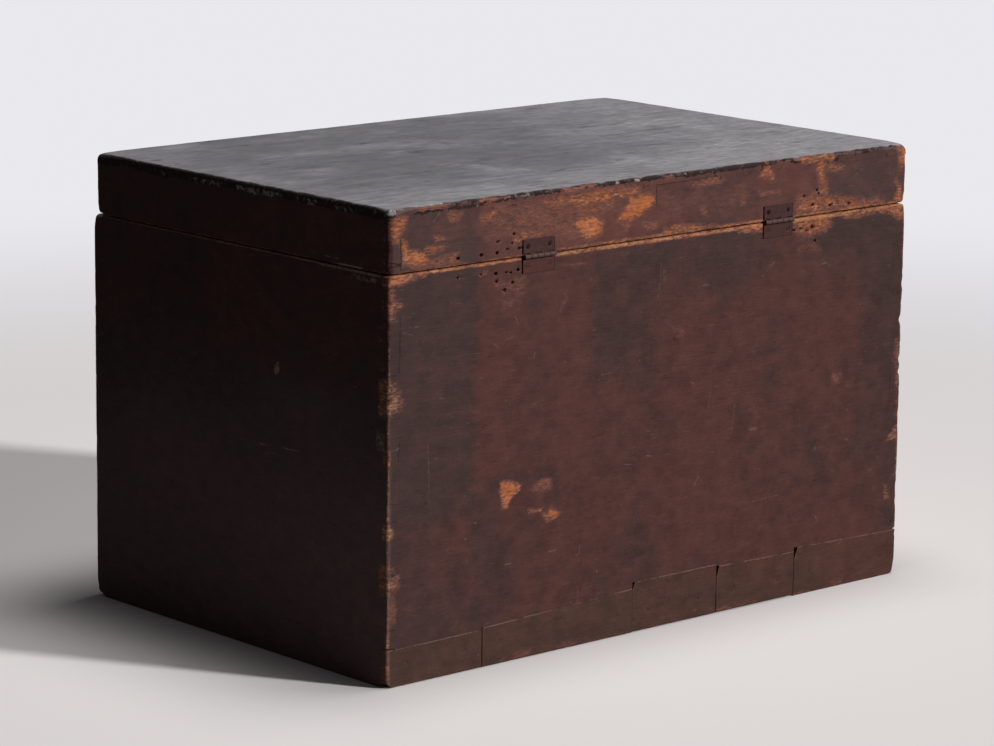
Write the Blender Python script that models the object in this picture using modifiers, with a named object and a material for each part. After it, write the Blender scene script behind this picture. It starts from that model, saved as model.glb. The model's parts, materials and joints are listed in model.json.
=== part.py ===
"""Painted wooden chest: a dovetailed carcase of pine boards with a framed lid on two butt hinges.

Metres, +Z up. The front faces -Y, the hinges are on the back at +Y, and the origin is on the floor
under the middle of the whole chest.
"""

from math import pi

import bmesh
import bpy
from mathutils import Matrix

# Clearances
FIT_GAP = 0.0003        # between pieces that touch, also along a glue line
RUN_GAP = 0.0004        # between hinge pieces that turn past each other
TRIM = 0.006            # wood left on the outside until the carcase or lid is planed flush

# Carcase
BODY_LENGTH = 0.920
BODY_DEPTH = 0.600
BODY_HEIGHT = 0.518
LONG_WALL = 0.020       # thickness of the front and back
END_WALL = 0.020        # thickness of the two ends
LOWER_BOARD = 0.274     # width of the lower of the two boards in each wall
CORNER_ROUND = 0.003
DOVETAIL_SLOPE = 1 / 7
PIN_COUNT = 3           # pins on each end of an end wall
PIN_HEIGHT = 0.066
BOTTOM_TAIL = 0.075     # half tail under the lowest pin
TOP_TAIL = 0.057        # half tail over the highest pin

# Floor of the chest
CLEAT_SIDE = 0.024
CLEAT_LIFT = 0.004      # from the ground to the cleats
FLOOR_THICK = 0.016
FLOOR_BOARDS = 5

# Repair strips let into the foot of the back
STRIP_THICK = 0.010
STRIP_GAP = 0.0008
STRIP_NAIL_INSET = 0.030
STRIP_NAIL_RISE = 0.028
RIGHT_STRIP = 0.158     # length of the strip at the right end
LEFT_STRIP = 0.200      # length of the strip at the left end
LEFT_MIDDLE_STRIP = 0.147
MIDDLE_STRIP = 0.154    # the fifth strip fills what is left
# Each strip from right to left: foot above the ground, height at its right end, height at its left
# end, and the width and depth of the corner that is broken off at its upper right
STRIP_SHAPES = (
    (0.0020, 0.050, 0.053, 0.0010, 0.0010),
    (0.0020, 0.053, 0.061, 0.0015, 0.0020),
    (0.0025, 0.069, 0.070, 0.0050, 0.0130),
    (0.0030, 0.065, 0.062, 0.0070, 0.0240),
    (0.0000, 0.067, 0.062, 0.0080, 0.0190),
)

# Lid
LID_GAP = 0.0005        # between the rim of the carcase and the lid
LID_END_SETBACK = 0.001
LID_FRONT_SETBACK = 0.005
LID_RAIL_HEIGHT = 0.0662
LID_RAIL = 0.020        # thickness of the four rails
LID_TOP = 0.015         # thickness of the top
LID_BACK_BOARD = 0.300  # width of the rear of the two boards in the top
LID_PIN_HEIGHT = 0.029
LID_BOTTOM_TAIL = 0.015
LID_CORNER_ROUND = 0.009
LID_EDGE_ROUND = 0.006

# Butt hinges
HINGE_INSET = 0.2465    # from the end of the chest to the middle of a hinge
HINGE_LENGTH = 0.053
LEAF_REACH = 0.0215     # from the hinge axis to the far edge of a leaf
LEAF_THICK = 0.0018
LEAF_SINK = 0.0002      # the leaves lie this far below the wood
KNUCKLE_COUNT = 5
KNUCKLE_RADIUS = 0.0033
HINGE_PIN_RADIUS = 0.0015
HINGE_PIN_END = 0.0005  # the pin stands out of the knuckles by this at each end
MORTISE_SLACK = 0.0018  # the mortises are cut too wide at one end

# Screws and nails
SCREW_INSET = 0.008     # from the end of a leaf to a screw
SCREW_HEAD_RADIUS = 0.0034
SCREW_SHANK_RADIUS = 0.0017
SCREW_LENGTH = 0.015
NAIL_HEAD_RADIUS = 0.0026
NAIL_HEAD_THICK = 0.0012
NAIL_SHANK_RADIUS = 0.0013
NAIL_SINK = 0.0006      # the heads are punched this far below the wood
NAIL_TIP = 0.003
LID_NAIL_LENGTH = 0.040
LID_NAIL_INSET = 0.150
STRIP_NAIL_LENGTH = 0.017

# Facets
ROUND_STEPS = 12
KNUCKLE_STEPS = 16
EDGE_STEPS = 3
CUT_PAST = 0.004        # how far a cutter runs past the surface that it opens

# Places worked out from the sizes above
AXIS_PROUD = KNUCKLE_RADIUS - LEAF_SINK - LEAF_THICK
KNUCKLE_PROUD = AXIS_PROUD + KNUCKLE_RADIUS
END_X = BODY_LENGTH / 2
BACK_Y = (BODY_DEPTH - KNUCKLE_PROUD) / 2
FRONT_Y = BACK_Y - BODY_DEPTH
INSIDE_X = END_X - END_WALL
INSIDE_BACK_Y = BACK_Y - LONG_WALL
INSIDE_FRONT_Y = FRONT_Y + LONG_WALL
LID_X = END_X - LID_END_SETBACK
LID_FRONT_Y = FRONT_Y + LID_FRONT_SETBACK
LID_BOTTOM = BODY_HEIGHT + LID_GAP
LID_RAIL_TOP = LID_BOTTOM + LID_RAIL_HEIGHT
LID_TOP_UNDER = LID_RAIL_TOP + FIT_GAP
CHEST_TOP = LID_TOP_UNDER + LID_TOP
LID_SEAM_Y = BACK_Y - LID_BACK_BOARD
AXIS_Y = BACK_Y + AXIS_PROUD
AXIS_Z = BODY_HEIGHT + LID_GAP / 2
MORTISE_DEPTH = LEAF_SINK + LEAF_THICK + FIT_GAP
LEAF_START = KNUCKLE_RADIUS + RUN_GAP
LEAF_FACE_Y = BACK_Y - LEAF_SINK
SCREW_REACH = (LEAF_START + LEAF_REACH) / 2
HINGES = {"right": END_X - HINGE_INSET, "left": HINGE_INSET - END_X}
FLOOR_BOTTOM = CLEAT_LIFT + CLEAT_SIDE + FIT_GAP
FACING_BACK = Matrix.Rotation(-pi / 2, 4, "X")

# Fasteners: (head radius, depth at full radius, depth where the shank starts), and (shank radius, length)
NAIL_HEAD = (NAIL_HEAD_RADIUS, NAIL_HEAD_THICK, NAIL_HEAD_THICK)
SCREW_HEAD = (SCREW_HEAD_RADIUS, 0, LEAF_THICK)
LID_SHANK = (NAIL_SHANK_RADIUS, LID_NAIL_LENGTH)
STRIP_SHANK = (NAIL_SHANK_RADIUS, STRIP_NAIL_LENGTH)
SCREW_SHANK = (SCREW_SHANK_RADIUS, SCREW_LENGTH)

# Colours, linear
RED_BROWN_PAINT = ((0.060, 0.024, 0.018), 0.45, 0.0)
BLACK_PAINT = ((0.022, 0.020, 0.020), 0.40, 0.0)
BARE_PINE = ((0.330, 0.180, 0.085), 0.70, 0.0)
DARK_IRON = ((0.050, 0.042, 0.038), 0.60, 0.8)


def clear_scene():
    for obj in list(bpy.data.objects):
        bpy.data.objects.remove(obj)


def collection(name):
    made = bpy.data.collections.new(name)
    bpy.context.scene.collection.children.link(made)
    return made


def empty(name, location):
    """A bare frame that carries the pieces of one moving body."""
    obj = bpy.data.objects.new(name, None)
    obj.location = location
    PARTS.objects.link(obj)
    bpy.context.view_layer.update()
    return obj


def material(name, finish):
    """The named material, made when it is first asked for."""
    found = bpy.data.materials.get(name)
    if found:
        return found
    colour, roughness, metallic = finish
    made = bpy.data.materials.new(name)
    made.use_nodes = True
    made.diffuse_color = (*colour, 1)
    shader = made.node_tree.nodes["Principled BSDF"]
    shader.inputs["Base Color"].default_value = (*colour, 1)
    shader.inputs["Roughness"].default_value = roughness
    shader.inputs["Metallic"].default_value = metallic
    return made


def mesh_object(name, shape, group):
    """An object from a bmesh, with its faces turned outwards."""
    bmesh.ops.recalc_face_normals(shape, faces=shape.faces)
    mesh = bpy.data.meshes.new(name)
    shape.to_mesh(mesh)
    shape.free()
    obj = bpy.data.objects.new(name, mesh)
    group.objects.link(obj)
    return obj


def block(shape, low, high):
    """Adds a box between two corners to a bmesh and returns its vertices."""
    size = [b - a for a, b in zip(low, high)]
    middle = [(a + b) / 2 for a, b in zip(low, high)]
    place = Matrix.Translation(middle) @ Matrix.Diagonal((*size, 1))
    return bmesh.ops.create_cube(shape, size=1, matrix=place)["verts"]


def board(name, low, high):
    """A plain board between two corners, with its origin at its middle."""
    shape = bmesh.new()
    middle = [(a + b) / 2 for a, b in zip(low, high)]
    half = [(b - a) / 2 for a, b in zip(low, high)]
    block(shape, [-h for h in half], half)
    obj = mesh_object(name, shape, PARTS)
    obj.location = middle
    return obj


def cutter(name, shape):
    obj = mesh_object(name, shape, CUTTERS)
    obj.hide_render = True
    obj.display_type = "WIRE"
    return obj


def boolean(obj, other, operation):
    step = obj.modifiers.new(f"{operation.lower()} {other.name}", "BOOLEAN")
    step.operation = operation
    step.object = other


def cut(obj, *cutters):
    for other in cutters:
        boolean(obj, other, "DIFFERENCE")


def finish(obj, parent, name, look):
    """Gives a piece its material and hangs it on its body, where it lies."""
    obj.data.materials.append(material(name, look))
    bpy.context.view_layer.update()
    obj.parent = parent
    obj.matrix_parent_inverse = parent.matrix_world.inverted()
    return obj


def outline(name, points, y_low, y_high, group):
    """A flat outline in the XZ plane, given its thickness between two values of Y, as a mesh."""
    curve = bpy.data.curves.new(name, "CURVE")
    curve.dimensions = "2D"
    curve.fill_mode = "BOTH"
    curve.extrude = (y_high - y_low) / 2
    spline = curve.splines.new("POLY")
    spline.points.add(len(points) - 1)
    for point, (x, z) in zip(spline.points, points):
        point.co = (x, z, 0, 1)
    spline.use_cyclic_u = True
    drawn = bpy.data.objects.new(name + "_outline", curve)
    drawn.location = (0, (y_low + y_high) / 2, 0)
    drawn.rotation_euler = (pi / 2, 0, 0)
    group.objects.link(drawn)
    bpy.context.view_layer.update()
    graph = bpy.context.evaluated_depsgraph_get()
    mesh = bpy.data.meshes.new_from_object(drawn.evaluated_get(graph))
    mesh.name = name
    shape = bmesh.new()
    shape.from_mesh(mesh)
    bmesh.ops.remove_doubles(shape, verts=shape.verts, dist=0.00001)
    bmesh.ops.recalc_face_normals(shape, faces=shape.faces)
    shape.to_mesh(mesh)
    shape.free()
    obj = bpy.data.objects.new(name, mesh)
    obj.matrix_world = drawn.matrix_world
    group.objects.link(obj)
    bpy.data.objects.remove(drawn)
    return obj


def turned(name, profile, place, group):
    """A profile of (radius, height) points, from the top down, turned about the Z axis of its place."""
    shape = bmesh.new()
    points = [shape.verts.new((radius, 0, height)) for radius, height in profile]
    for first, second in zip(points, points[1:]):
        shape.edges.new((first, second))
    mesh = bpy.data.meshes.new(name)
    shape.to_mesh(mesh)
    shape.free()
    obj = bpy.data.objects.new(name, mesh)
    group.objects.link(obj)
    turn = obj.modifiers.new("turn", "SCREW")
    turn.steps = ROUND_STEPS
    turn.render_steps = ROUND_STEPS
    turn.use_merge_vertices = True
    turn.merge_threshold = 0.00001
    obj.matrix_world = place
    return obj


def fastener(name, place, head, shank, parent):
    """A nail or screw whose head faces along +Z of its place, and the cutter for its hole.

    head is (radius, depth at full radius, depth where the shank starts), shank (radius, length).
    """
    head_radius, rim, neck = head
    shank_radius, length = shank
    solid = turned(
        name,
        [(0, 0), (head_radius, 0), (head_radius, -rim), (shank_radius, -neck),
         (shank_radius, NAIL_TIP - length), (0, -length)],
        place,
        PARTS,
    )
    hole = turned(
        name + "_hole",
        [(0, CUT_PAST), (head_radius + FIT_GAP, CUT_PAST), (head_radius + FIT_GAP, -rim - FIT_GAP),
         (shank_radius + FIT_GAP, -neck - FIT_GAP), (shank_radius + FIT_GAP, -length - FIT_GAP),
         (0, -length - FIT_GAP)],
        place,
        CUTTERS,
    )
    hole.hide_render = True
    hole.display_type = "WIRE"
    finish(solid, parent, "dark_iron", DARK_IRON)
    return hole


def envelope(name, low, high, corner, edge=0):
    """The planed outside of the carcase or lid: a box with round corners and a round upper edge."""
    shape = bmesh.new()
    block(shape, low, high)
    upright = [e for e in shape.edges if e.verts[0].co.z != e.verts[1].co.z]
    bmesh.ops.bevel(shape, geom=upright, offset=corner, segments=EDGE_STEPS, profile=0.5, affect="EDGES")
    if edge:
        top = max(v.co.z for v in shape.verts)
        rim = [e for e in shape.edges if all(v.co.z == top for v in e.verts)]
        bmesh.ops.bevel(shape, geom=rim, offset=edge, segments=EDGE_STEPS, profile=0.5, affect="EDGES")
    return cutter(name, shape)


def pin_spans(bottom, top, count, pin, lower_tail, upper_tail):
    """(lowest, highest) of each dovetail pin at the outer face, evenly spaced between the half tails."""
    first = bottom + lower_tail
    last = top - upper_tail - pin
    step = (last - first) / max(count - 1, 1)
    return [(first + step * i, first + step * i + pin) for i in range(count)]


def tail_spans(bottom, top, pins):
    """The spans between the pins, running past the board at the top and bottom."""
    edges = [bottom - TRIM] + [z for pin in pins for z in pin] + [top + TRIM]
    return list(zip(edges[::2], edges[1::2]))


def dovetails(spans, slope, x_outer, x_inner, y_low, y_high):
    """Sockets at both ends of a wall, whose sides slope with the distance from the outer face."""
    shape = bmesh.new()
    for side in (-1, 1):
        x_range = sorted((side * x_inner, side * (x_outer + TRIM + CUT_PAST)))
        for low, high in spans:
            near = (x_range[0], y_low, low - FIT_GAP)
            far = (x_range[1], y_high, high + FIT_GAP)
            for corner in block(shape, near, far):
                outward = 1 if corner.co.z > (low + high) / 2 else -1
                corner.co.z += outward * slope * (x_outer - abs(corner.co.x))
    return shape


def pin_sockets(name, pins, x_outer, wall, y_low, y_high):
    """Cutter for the sockets that take the pins, through the thickness of a tail board."""
    baseline = x_outer - wall - FIT_GAP
    past = TRIM + CUT_PAST
    return cutter(name, dovetails(pins, DOVETAIL_SLOPE, x_outer, baseline, y_low - past, y_high + past))


def tail_sockets(name, tails, x_outer, wall, y_inner, y_outer):
    """Cutter for the sockets that take one board's tails, in the edges of both pin boards."""
    past = TRIM + CUT_PAST
    toward = 1 if y_outer > y_inner else -1
    y_range = sorted((y_inner - toward * FIT_GAP, y_outer + toward * past))
    inside = x_outer - wall - CUT_PAST
    return cutter(name, dovetails(tails, -DOVETAIL_SLOPE, x_outer, inside, *y_range))


def carcase_walls():
    """Four walls of two boards each, dovetailed at the corners. Returns the boards by name."""
    pins = pin_spans(0, BODY_HEIGHT, PIN_COUNT, PIN_HEIGHT, BOTTOM_TAIL, TOP_TAIL)
    tails = tail_spans(0, BODY_HEIGHT, pins)
    for_pins = {
        "front": pin_sockets("front_sockets", pins, END_X, END_WALL, FRONT_Y - TRIM, INSIDE_FRONT_Y),
        "back": pin_sockets("back_sockets", pins, END_X, END_WALL, INSIDE_BACK_Y, BACK_Y),
    }
    for_tails = (
        tail_sockets("front_tail_sockets", tails, END_X, END_WALL, INSIDE_FRONT_Y, FRONT_Y),
        tail_sockets("back_tail_sockets", tails, END_X, END_WALL, INSIDE_BACK_Y, BACK_Y),
    )
    past_end = END_X + TRIM
    plans = {
        "front": ((-past_end, FRONT_Y - TRIM), (past_end, INSIDE_FRONT_Y)),
        "back": ((-past_end, INSIDE_BACK_Y), (past_end, BACK_Y + TRIM)),
        "left_end": ((-past_end, FRONT_Y - TRIM), (-INSIDE_X, BACK_Y + TRIM)),
        "right_end": ((INSIDE_X, FRONT_Y - TRIM), (past_end, BACK_Y + TRIM)),
    }
    levels = {"lower": (0, LOWER_BOARD), "upper": (LOWER_BOARD + FIT_GAP, BODY_HEIGHT)}
    made = {}
    for wall, (low, high) in plans.items():
        for level, (bottom, top) in levels.items():
            name = f"{wall}_{level}_board"
            piece = board(name, (*low, bottom), (*high, top))
            cut(piece, *([for_pins[wall]] if wall in for_pins else for_tails))
            made[name] = finish(piece, CHEST, "red_brown_paint", RED_BROWN_PAINT)
    return made


def strip_spans():
    """(right end, left end) of each repair strip in X, from the right end of the chest to the left."""
    joints = [
        END_X - RIGHT_STRIP,
        LEFT_STRIP + LEFT_MIDDLE_STRIP + MIDDLE_STRIP - END_X,
        LEFT_STRIP + LEFT_MIDDLE_STRIP - END_X,
        LEFT_STRIP - END_X,
    ]
    starts = [END_X + TRIM] + [joint - STRIP_GAP / 2 for joint in joints]
    ends = [joint + STRIP_GAP / 2 for joint in joints] + [-END_X - TRIM]
    return list(zip(starts, ends))


def repair_strips(back_board):
    """Five nailed strips in a stepped rebate along the foot of the back. Returns them by name."""
    seat_y = BACK_Y - STRIP_THICK
    rebate = [(END_X + TRIM + CUT_PAST, -CUT_PAST)]
    strips = {}
    holes = []
    for number, ((right, left), sizes) in enumerate(zip(strip_spans(), STRIP_SHAPES), 1):
        foot, right_height, left_height, chip_width, chip_depth = sizes
        points = [
            (left, foot), (right, foot), (right, right_height - chip_depth),
            (right - chip_width, right_height), (left, left_height),
        ]
        piece = outline(f"back_strip_{number}", points, seat_y + FIT_GAP, BACK_Y + TRIM, PARTS)
        strips[piece.name] = finish(piece, CHEST, "red_brown_paint", RED_BROWN_PAINT)
        first, last = right + STRIP_GAP / 2, left - STRIP_GAP / 2
        if number == 1:
            first += CUT_PAST
        if number == len(STRIP_SHAPES):
            last -= CUT_PAST
        rebate += [(first, right_height + FIT_GAP), (last, left_height + FIT_GAP)]
        inset = (min(right, END_X) - STRIP_NAIL_INSET, max(left, -END_X) + STRIP_NAIL_INSET)
        for x, end in zip(inset, ("right", "left")):
            place = Matrix.Translation((x, BACK_Y - NAIL_SINK, STRIP_NAIL_RISE)) @ FACING_BACK
            hole = fastener(f"strip_nail_{number}_{end}", place, NAIL_HEAD, STRIP_SHANK, CHEST)
            cut(piece, hole)
            holes.append(hole)
    rebate.append((-END_X - TRIM - CUT_PAST, -CUT_PAST))
    cutting = outline("strip_rebate", rebate, seat_y, BACK_Y + TRIM + CUT_PAST, CUTTERS)
    cutting.hide_render = True
    cutting.display_type = "WIRE"
    cut(back_board, cutting, *holes)
    return strips


def chest_floor():
    """Short boards side by side across two long cleats."""
    cleat_x = INSIDE_X - FIT_GAP
    rows = {
        "front": (INSIDE_FRONT_Y + FIT_GAP, INSIDE_FRONT_Y + FIT_GAP + CLEAT_SIDE),
        "back": (INSIDE_BACK_Y - FIT_GAP - CLEAT_SIDE, INSIDE_BACK_Y - FIT_GAP),
    }
    for row, (y_low, y_high) in rows.items():
        piece = board(
            f"{row}_floor_cleat",
            (-cleat_x, y_low, CLEAT_LIFT),
            (cleat_x, y_high, CLEAT_LIFT + CLEAT_SIDE),
        )
        finish(piece, CHEST, "bare_pine", BARE_PINE)
    pitch = 2 * INSIDE_X / FLOOR_BOARDS
    for number in range(FLOOR_BOARDS):
        start = -INSIDE_X + pitch * number
        piece = board(
            f"floor_board_{number + 1}",
            (start + FIT_GAP, INSIDE_FRONT_Y + FIT_GAP, FLOOR_BOTTOM),
            (start + pitch - FIT_GAP, INSIDE_BACK_Y - FIT_GAP, FLOOR_BOTTOM + FLOOR_THICK),
        )
        finish(piece, CHEST, "bare_pine", BARE_PINE)


def lid_rails():
    """Four rails dovetailed into a frame. Returns the rails by name."""
    rail_back, rail_front = BACK_Y - LID_RAIL, LID_FRONT_Y + LID_RAIL
    upper_tail = LID_RAIL_HEIGHT - LID_BOTTOM_TAIL - LID_PIN_HEIGHT
    pins = pin_spans(LID_BOTTOM, LID_RAIL_TOP, 1, LID_PIN_HEIGHT, LID_BOTTOM_TAIL, upper_tail)
    tails = tail_spans(LID_BOTTOM, LID_RAIL_TOP, pins)
    for_pins = {
        "front": pin_sockets("lid_front_sockets", pins, LID_X, LID_RAIL, LID_FRONT_Y - TRIM, rail_front),
        "back": pin_sockets("lid_back_sockets", pins, LID_X, LID_RAIL, rail_back, BACK_Y),
    }
    for_tails = (
        tail_sockets("lid_front_tail_sockets", tails, LID_X, LID_RAIL, rail_front, LID_FRONT_Y),
        tail_sockets("lid_back_tail_sockets", tails, LID_X, LID_RAIL, rail_back, BACK_Y),
    )
    past_end = LID_X + TRIM
    inner_end = LID_X - LID_RAIL
    plans = {
        "front": ((-past_end, LID_FRONT_Y - TRIM), (past_end, rail_front)),
        "back": ((-past_end, rail_back), (past_end, BACK_Y + TRIM)),
        "left": ((-past_end, LID_FRONT_Y - TRIM), (-inner_end, BACK_Y + TRIM)),
        "right": ((inner_end, LID_FRONT_Y - TRIM), (past_end, BACK_Y + TRIM)),
    }
    made = {}
    for side, (low, high) in plans.items():
        name = f"lid_{side}_rail"
        piece = board(name, (*low, LID_BOTTOM), (*high, LID_RAIL_TOP))
        cut(piece, *([for_pins[side]] if side in for_pins else for_tails))
        made[name] = finish(piece, LID, "red_brown_paint", RED_BROWN_PAINT)
    return made


def lid_top(rails):
    """Two boards nailed down on the rails. Returns the boards by name."""
    past_end = LID_X + TRIM
    spans = {
        "front": (LID_FRONT_Y - TRIM, LID_SEAM_Y - FIT_GAP / 2),
        "back": (LID_SEAM_Y + FIT_GAP / 2, BACK_Y + TRIM),
    }
    made = {}
    for side, (y_low, y_high) in spans.items():
        piece = board(
            f"lid_top_{side}_board",
            (-past_end, y_low, LID_TOP_UNDER),
            (past_end, y_high, CHEST_TOP + TRIM),
        )
        made[piece.name] = finish(piece, LID, "black_paint", BLACK_PAINT)
    rail_y = {"front": LID_FRONT_Y + LID_RAIL / 2, "back": BACK_Y - LID_RAIL / 2}
    middle_y = {"front": (LID_FRONT_Y + LID_SEAM_Y) / 2, "back": (LID_SEAM_Y + BACK_Y) / 2}
    for side in spans:
        for end, toward in (("right", 1), ("left", -1)):
            inset_x = toward * (LID_X - LID_NAIL_INSET)
            rail_x = toward * (LID_X - LID_RAIL / 2)
            spots = {
                f"lid_nail_{side}_{end}": (inset_x, rail_y[side], f"lid_{side}_rail"),
                f"lid_nail_{end}_end_{side}": (rail_x, middle_y[side], f"lid_{end}_rail"),
            }
            for name, (x, y, rail) in spots.items():
                place = Matrix.Translation((x, y, CHEST_TOP - NAIL_SINK))
                hole = fastener(name, place, NAIL_HEAD, LID_SHANK, LID)
                cut(made[f"lid_top_{side}_board"], hole)
                cut(rails[rail], hole)
    return made


def along_x(shape, radius, x_low, x_high):
    """Adds a cylinder along the hinge axis to a bmesh."""
    place = Matrix.Translation(((x_low + x_high) / 2, AXIS_Y, AXIS_Z)) @ Matrix.Rotation(pi / 2, 4, "Y")
    bmesh.ops.create_cone(
        shape, cap_ends=True, segments=KNUCKLE_STEPS, radius1=radius, radius2=radius,
        depth=x_high - x_low, matrix=place,
    )


def hinge_leaf(name, middle, up, knuckles, parent):
    """One leaf: a plate let into the wood, with tabs that reach in to its knuckles on the axis."""
    plate_y = (LEAF_FACE_Y - LEAF_THICK, LEAF_FACE_Y)
    half = HINGE_LENGTH / 2
    z_range = sorted((AXIS_Z + up * LEAF_START, AXIS_Z + up * LEAF_REACH))
    leaf = board(name, (middle - half, plate_y[0], z_range[0]), (middle + half, plate_y[1], z_range[1]))
    tabs, barrels, bore = bmesh.new(), bmesh.new(), bmesh.new()
    pitch = HINGE_LENGTH / KNUCKLE_COUNT
    for place in knuckles:
        x_low = middle - half + pitch * place + RUN_GAP / 2
        x_high = x_low + pitch - RUN_GAP
        root = sorted((AXIS_Z + up * HINGE_PIN_RADIUS, AXIS_Z + up * (LEAF_START + LEAF_THICK)))
        skin = LEAF_THICK / 10
        near = (x_low + skin, plate_y[0] + skin, root[0])
        far = (x_high - skin, plate_y[1] - skin, root[1])
        block(tabs, near, far)
        along_x(barrels, KNUCKLE_RADIUS, x_low, x_high)
    along_x(bore, HINGE_PIN_RADIUS + RUN_GAP, middle - half - CUT_PAST, middle + half + CUT_PAST)
    boolean(leaf, cutter(name + "_tabs", tabs), "UNION")
    boolean(leaf, cutter(name + "_barrels", barrels), "UNION")
    cut(leaf, cutter(name + "_bore", bore))
    return finish(leaf, parent, "dark_iron", DARK_IRON)


def leaf_screws(side, leaf, wood, middle, up, parent):
    """Two countersunk screws through a leaf into the wood behind it."""
    level = "upper" if up > 0 else "lower"
    spread = HINGE_LENGTH / 2 - SCREW_INSET
    for end, toward in (("right", 1), ("left", -1)):
        spot = (middle + toward * spread, LEAF_FACE_Y - LEAF_SINK, AXIS_Z + up * SCREW_REACH)
        place = Matrix.Translation(spot) @ FACING_BACK
        hole = fastener(f"{side}_hinge_{level}_screw_{end}", place, SCREW_HEAD, SCREW_SHANK, parent)
        cut(leaf, hole)
        cut(wood, hole)


def mortise(name, middle, z_low, z_high):
    """Cutter for the shallow seat of a leaf, a little too wide towards +X."""
    half = HINGE_LENGTH / 2 + HINGE_PIN_END + FIT_GAP
    shape = bmesh.new()
    block(
        shape,
        (middle - half, BACK_Y - MORTISE_DEPTH, z_low),
        (middle + half + MORTISE_SLACK, BACK_Y + TRIM + CUT_PAST, z_high),
    )
    return cutter(name, shape)


def hinge(side, middle, wall_board, lid_rail):
    """A butt hinge let into the outside of the back and the lid, and the pin through its knuckles."""
    places = range(KNUCKLE_COUNT)
    lower = hinge_leaf(f"{side}_hinge_lower_leaf", middle, -1, places[::2], CHEST)
    upper = hinge_leaf(f"{side}_hinge_upper_leaf", middle, 1, places[1::2], LID)
    seat = LEAF_REACH + FIT_GAP
    cut(wall_board, mortise(f"{side}_lower_mortise", middle, AXIS_Z - seat, BODY_HEIGHT + CUT_PAST))
    cut(lid_rail, mortise(f"{side}_upper_mortise", middle, LID_BOTTOM - CUT_PAST, AXIS_Z + seat))
    leaf_screws(side, lower, wall_board, middle, -1, CHEST)
    leaf_screws(side, upper, lid_rail, middle, 1, LID)
    shape = bmesh.new()
    half = HINGE_LENGTH / 2 + HINGE_PIN_END
    along_x(shape, HINGE_PIN_RADIUS, middle - half, middle + half)
    finish(mesh_object(f"{side}_hinge_pin", shape, PARTS), CHEST, "dark_iron", DARK_IRON)


def shade_round_pieces():
    """Turned and cylindrical pieces are shaded smooth, with their sharp rims kept."""
    for obj in PARTS.objects:
        if obj.type == "MESH" and any(word in obj.name for word in ("screw", "nail", "pin", "leaf")):
            obj.data.shade_smooth()
            obj.data.set_sharp_from_angle(angle=pi / 5)


def build():
    walls = carcase_walls()
    strips = repair_strips(walls["back_lower_board"])
    chest_floor()
    rails = lid_rails()
    tops = lid_top(rails)
    for side, middle in HINGES.items():
        hinge(side, middle, walls["back_upper_board"], rails["lid_back_rail"])
    carcase_outside = envelope(
        "carcase_outside",
        (-END_X, FRONT_Y, -CUT_PAST),
        (END_X, BACK_Y, BODY_HEIGHT + CUT_PAST),
        CORNER_ROUND,
    )
    lid_outside = envelope(
        "lid_outside",
        (-LID_X, LID_FRONT_Y, LID_BOTTOM - CUT_PAST),
        (LID_X, BACK_Y, CHEST_TOP),
        LID_CORNER_ROUND,
        LID_EDGE_ROUND,
    )
    for piece in (*walls.values(), *strips.values()):
        boolean(piece, carcase_outside, "INTERSECT")
    for piece in (*rails.values(), *tops.values()):
        boolean(piece, lid_outside, "INTERSECT")
    shade_round_pieces()


clear_scene()
PARTS = collection("painted_chest")
CUTTERS = collection("cutters")
CHEST = empty("chest", (0, 0, 0))
LID = empty("lid", (0, AXIS_Y, AXIS_Z))
build()
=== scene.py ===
"""Looks of the painted wooden chest: worn boards, strips, lid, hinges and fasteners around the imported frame.

Shapes are worked out in millimetres and put into the meshes in metres. A board is two facing sheets, each a
function of two parameters on a grid, joined round their rims.
"""

import json
from math import cos, pi, radians, sin

import bpy
import numpy as np
from mathutils import Matrix, Vector

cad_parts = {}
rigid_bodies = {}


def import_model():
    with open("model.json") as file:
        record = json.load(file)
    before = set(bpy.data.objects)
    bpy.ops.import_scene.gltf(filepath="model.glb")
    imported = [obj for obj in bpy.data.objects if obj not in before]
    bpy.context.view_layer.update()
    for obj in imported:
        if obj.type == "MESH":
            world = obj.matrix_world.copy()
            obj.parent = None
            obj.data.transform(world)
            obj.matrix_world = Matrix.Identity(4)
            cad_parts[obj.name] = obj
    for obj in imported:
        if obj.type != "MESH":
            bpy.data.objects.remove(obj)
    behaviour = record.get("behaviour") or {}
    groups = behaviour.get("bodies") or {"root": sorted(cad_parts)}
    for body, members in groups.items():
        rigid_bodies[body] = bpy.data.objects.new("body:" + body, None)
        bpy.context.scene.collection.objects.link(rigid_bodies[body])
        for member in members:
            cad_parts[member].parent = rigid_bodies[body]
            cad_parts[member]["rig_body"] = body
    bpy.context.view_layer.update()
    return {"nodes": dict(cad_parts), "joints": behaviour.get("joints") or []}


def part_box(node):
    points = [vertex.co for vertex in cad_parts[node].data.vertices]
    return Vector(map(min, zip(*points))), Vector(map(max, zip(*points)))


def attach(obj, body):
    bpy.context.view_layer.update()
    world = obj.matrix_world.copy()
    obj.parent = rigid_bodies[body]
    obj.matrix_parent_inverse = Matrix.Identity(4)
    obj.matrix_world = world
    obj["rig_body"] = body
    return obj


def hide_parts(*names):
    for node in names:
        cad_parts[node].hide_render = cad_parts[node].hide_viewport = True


bl_info = {
    "name": "Painted Chest",
    "version": (1, 0, 0),
    "blender": (4, 5, 0),
    "location": "View3D > Sidebar > Chest",
    "description": "Dresses the painted wooden chest with worn paint, bare wood and old hardware",
    "category": "Object",
}

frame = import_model()
MM = 1000


def node_box(node):
    """Lowest and highest corner of a CAD node in millimetres."""
    low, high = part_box(node)
    return np.array(low) * MM, np.array(high) * MM


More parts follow.
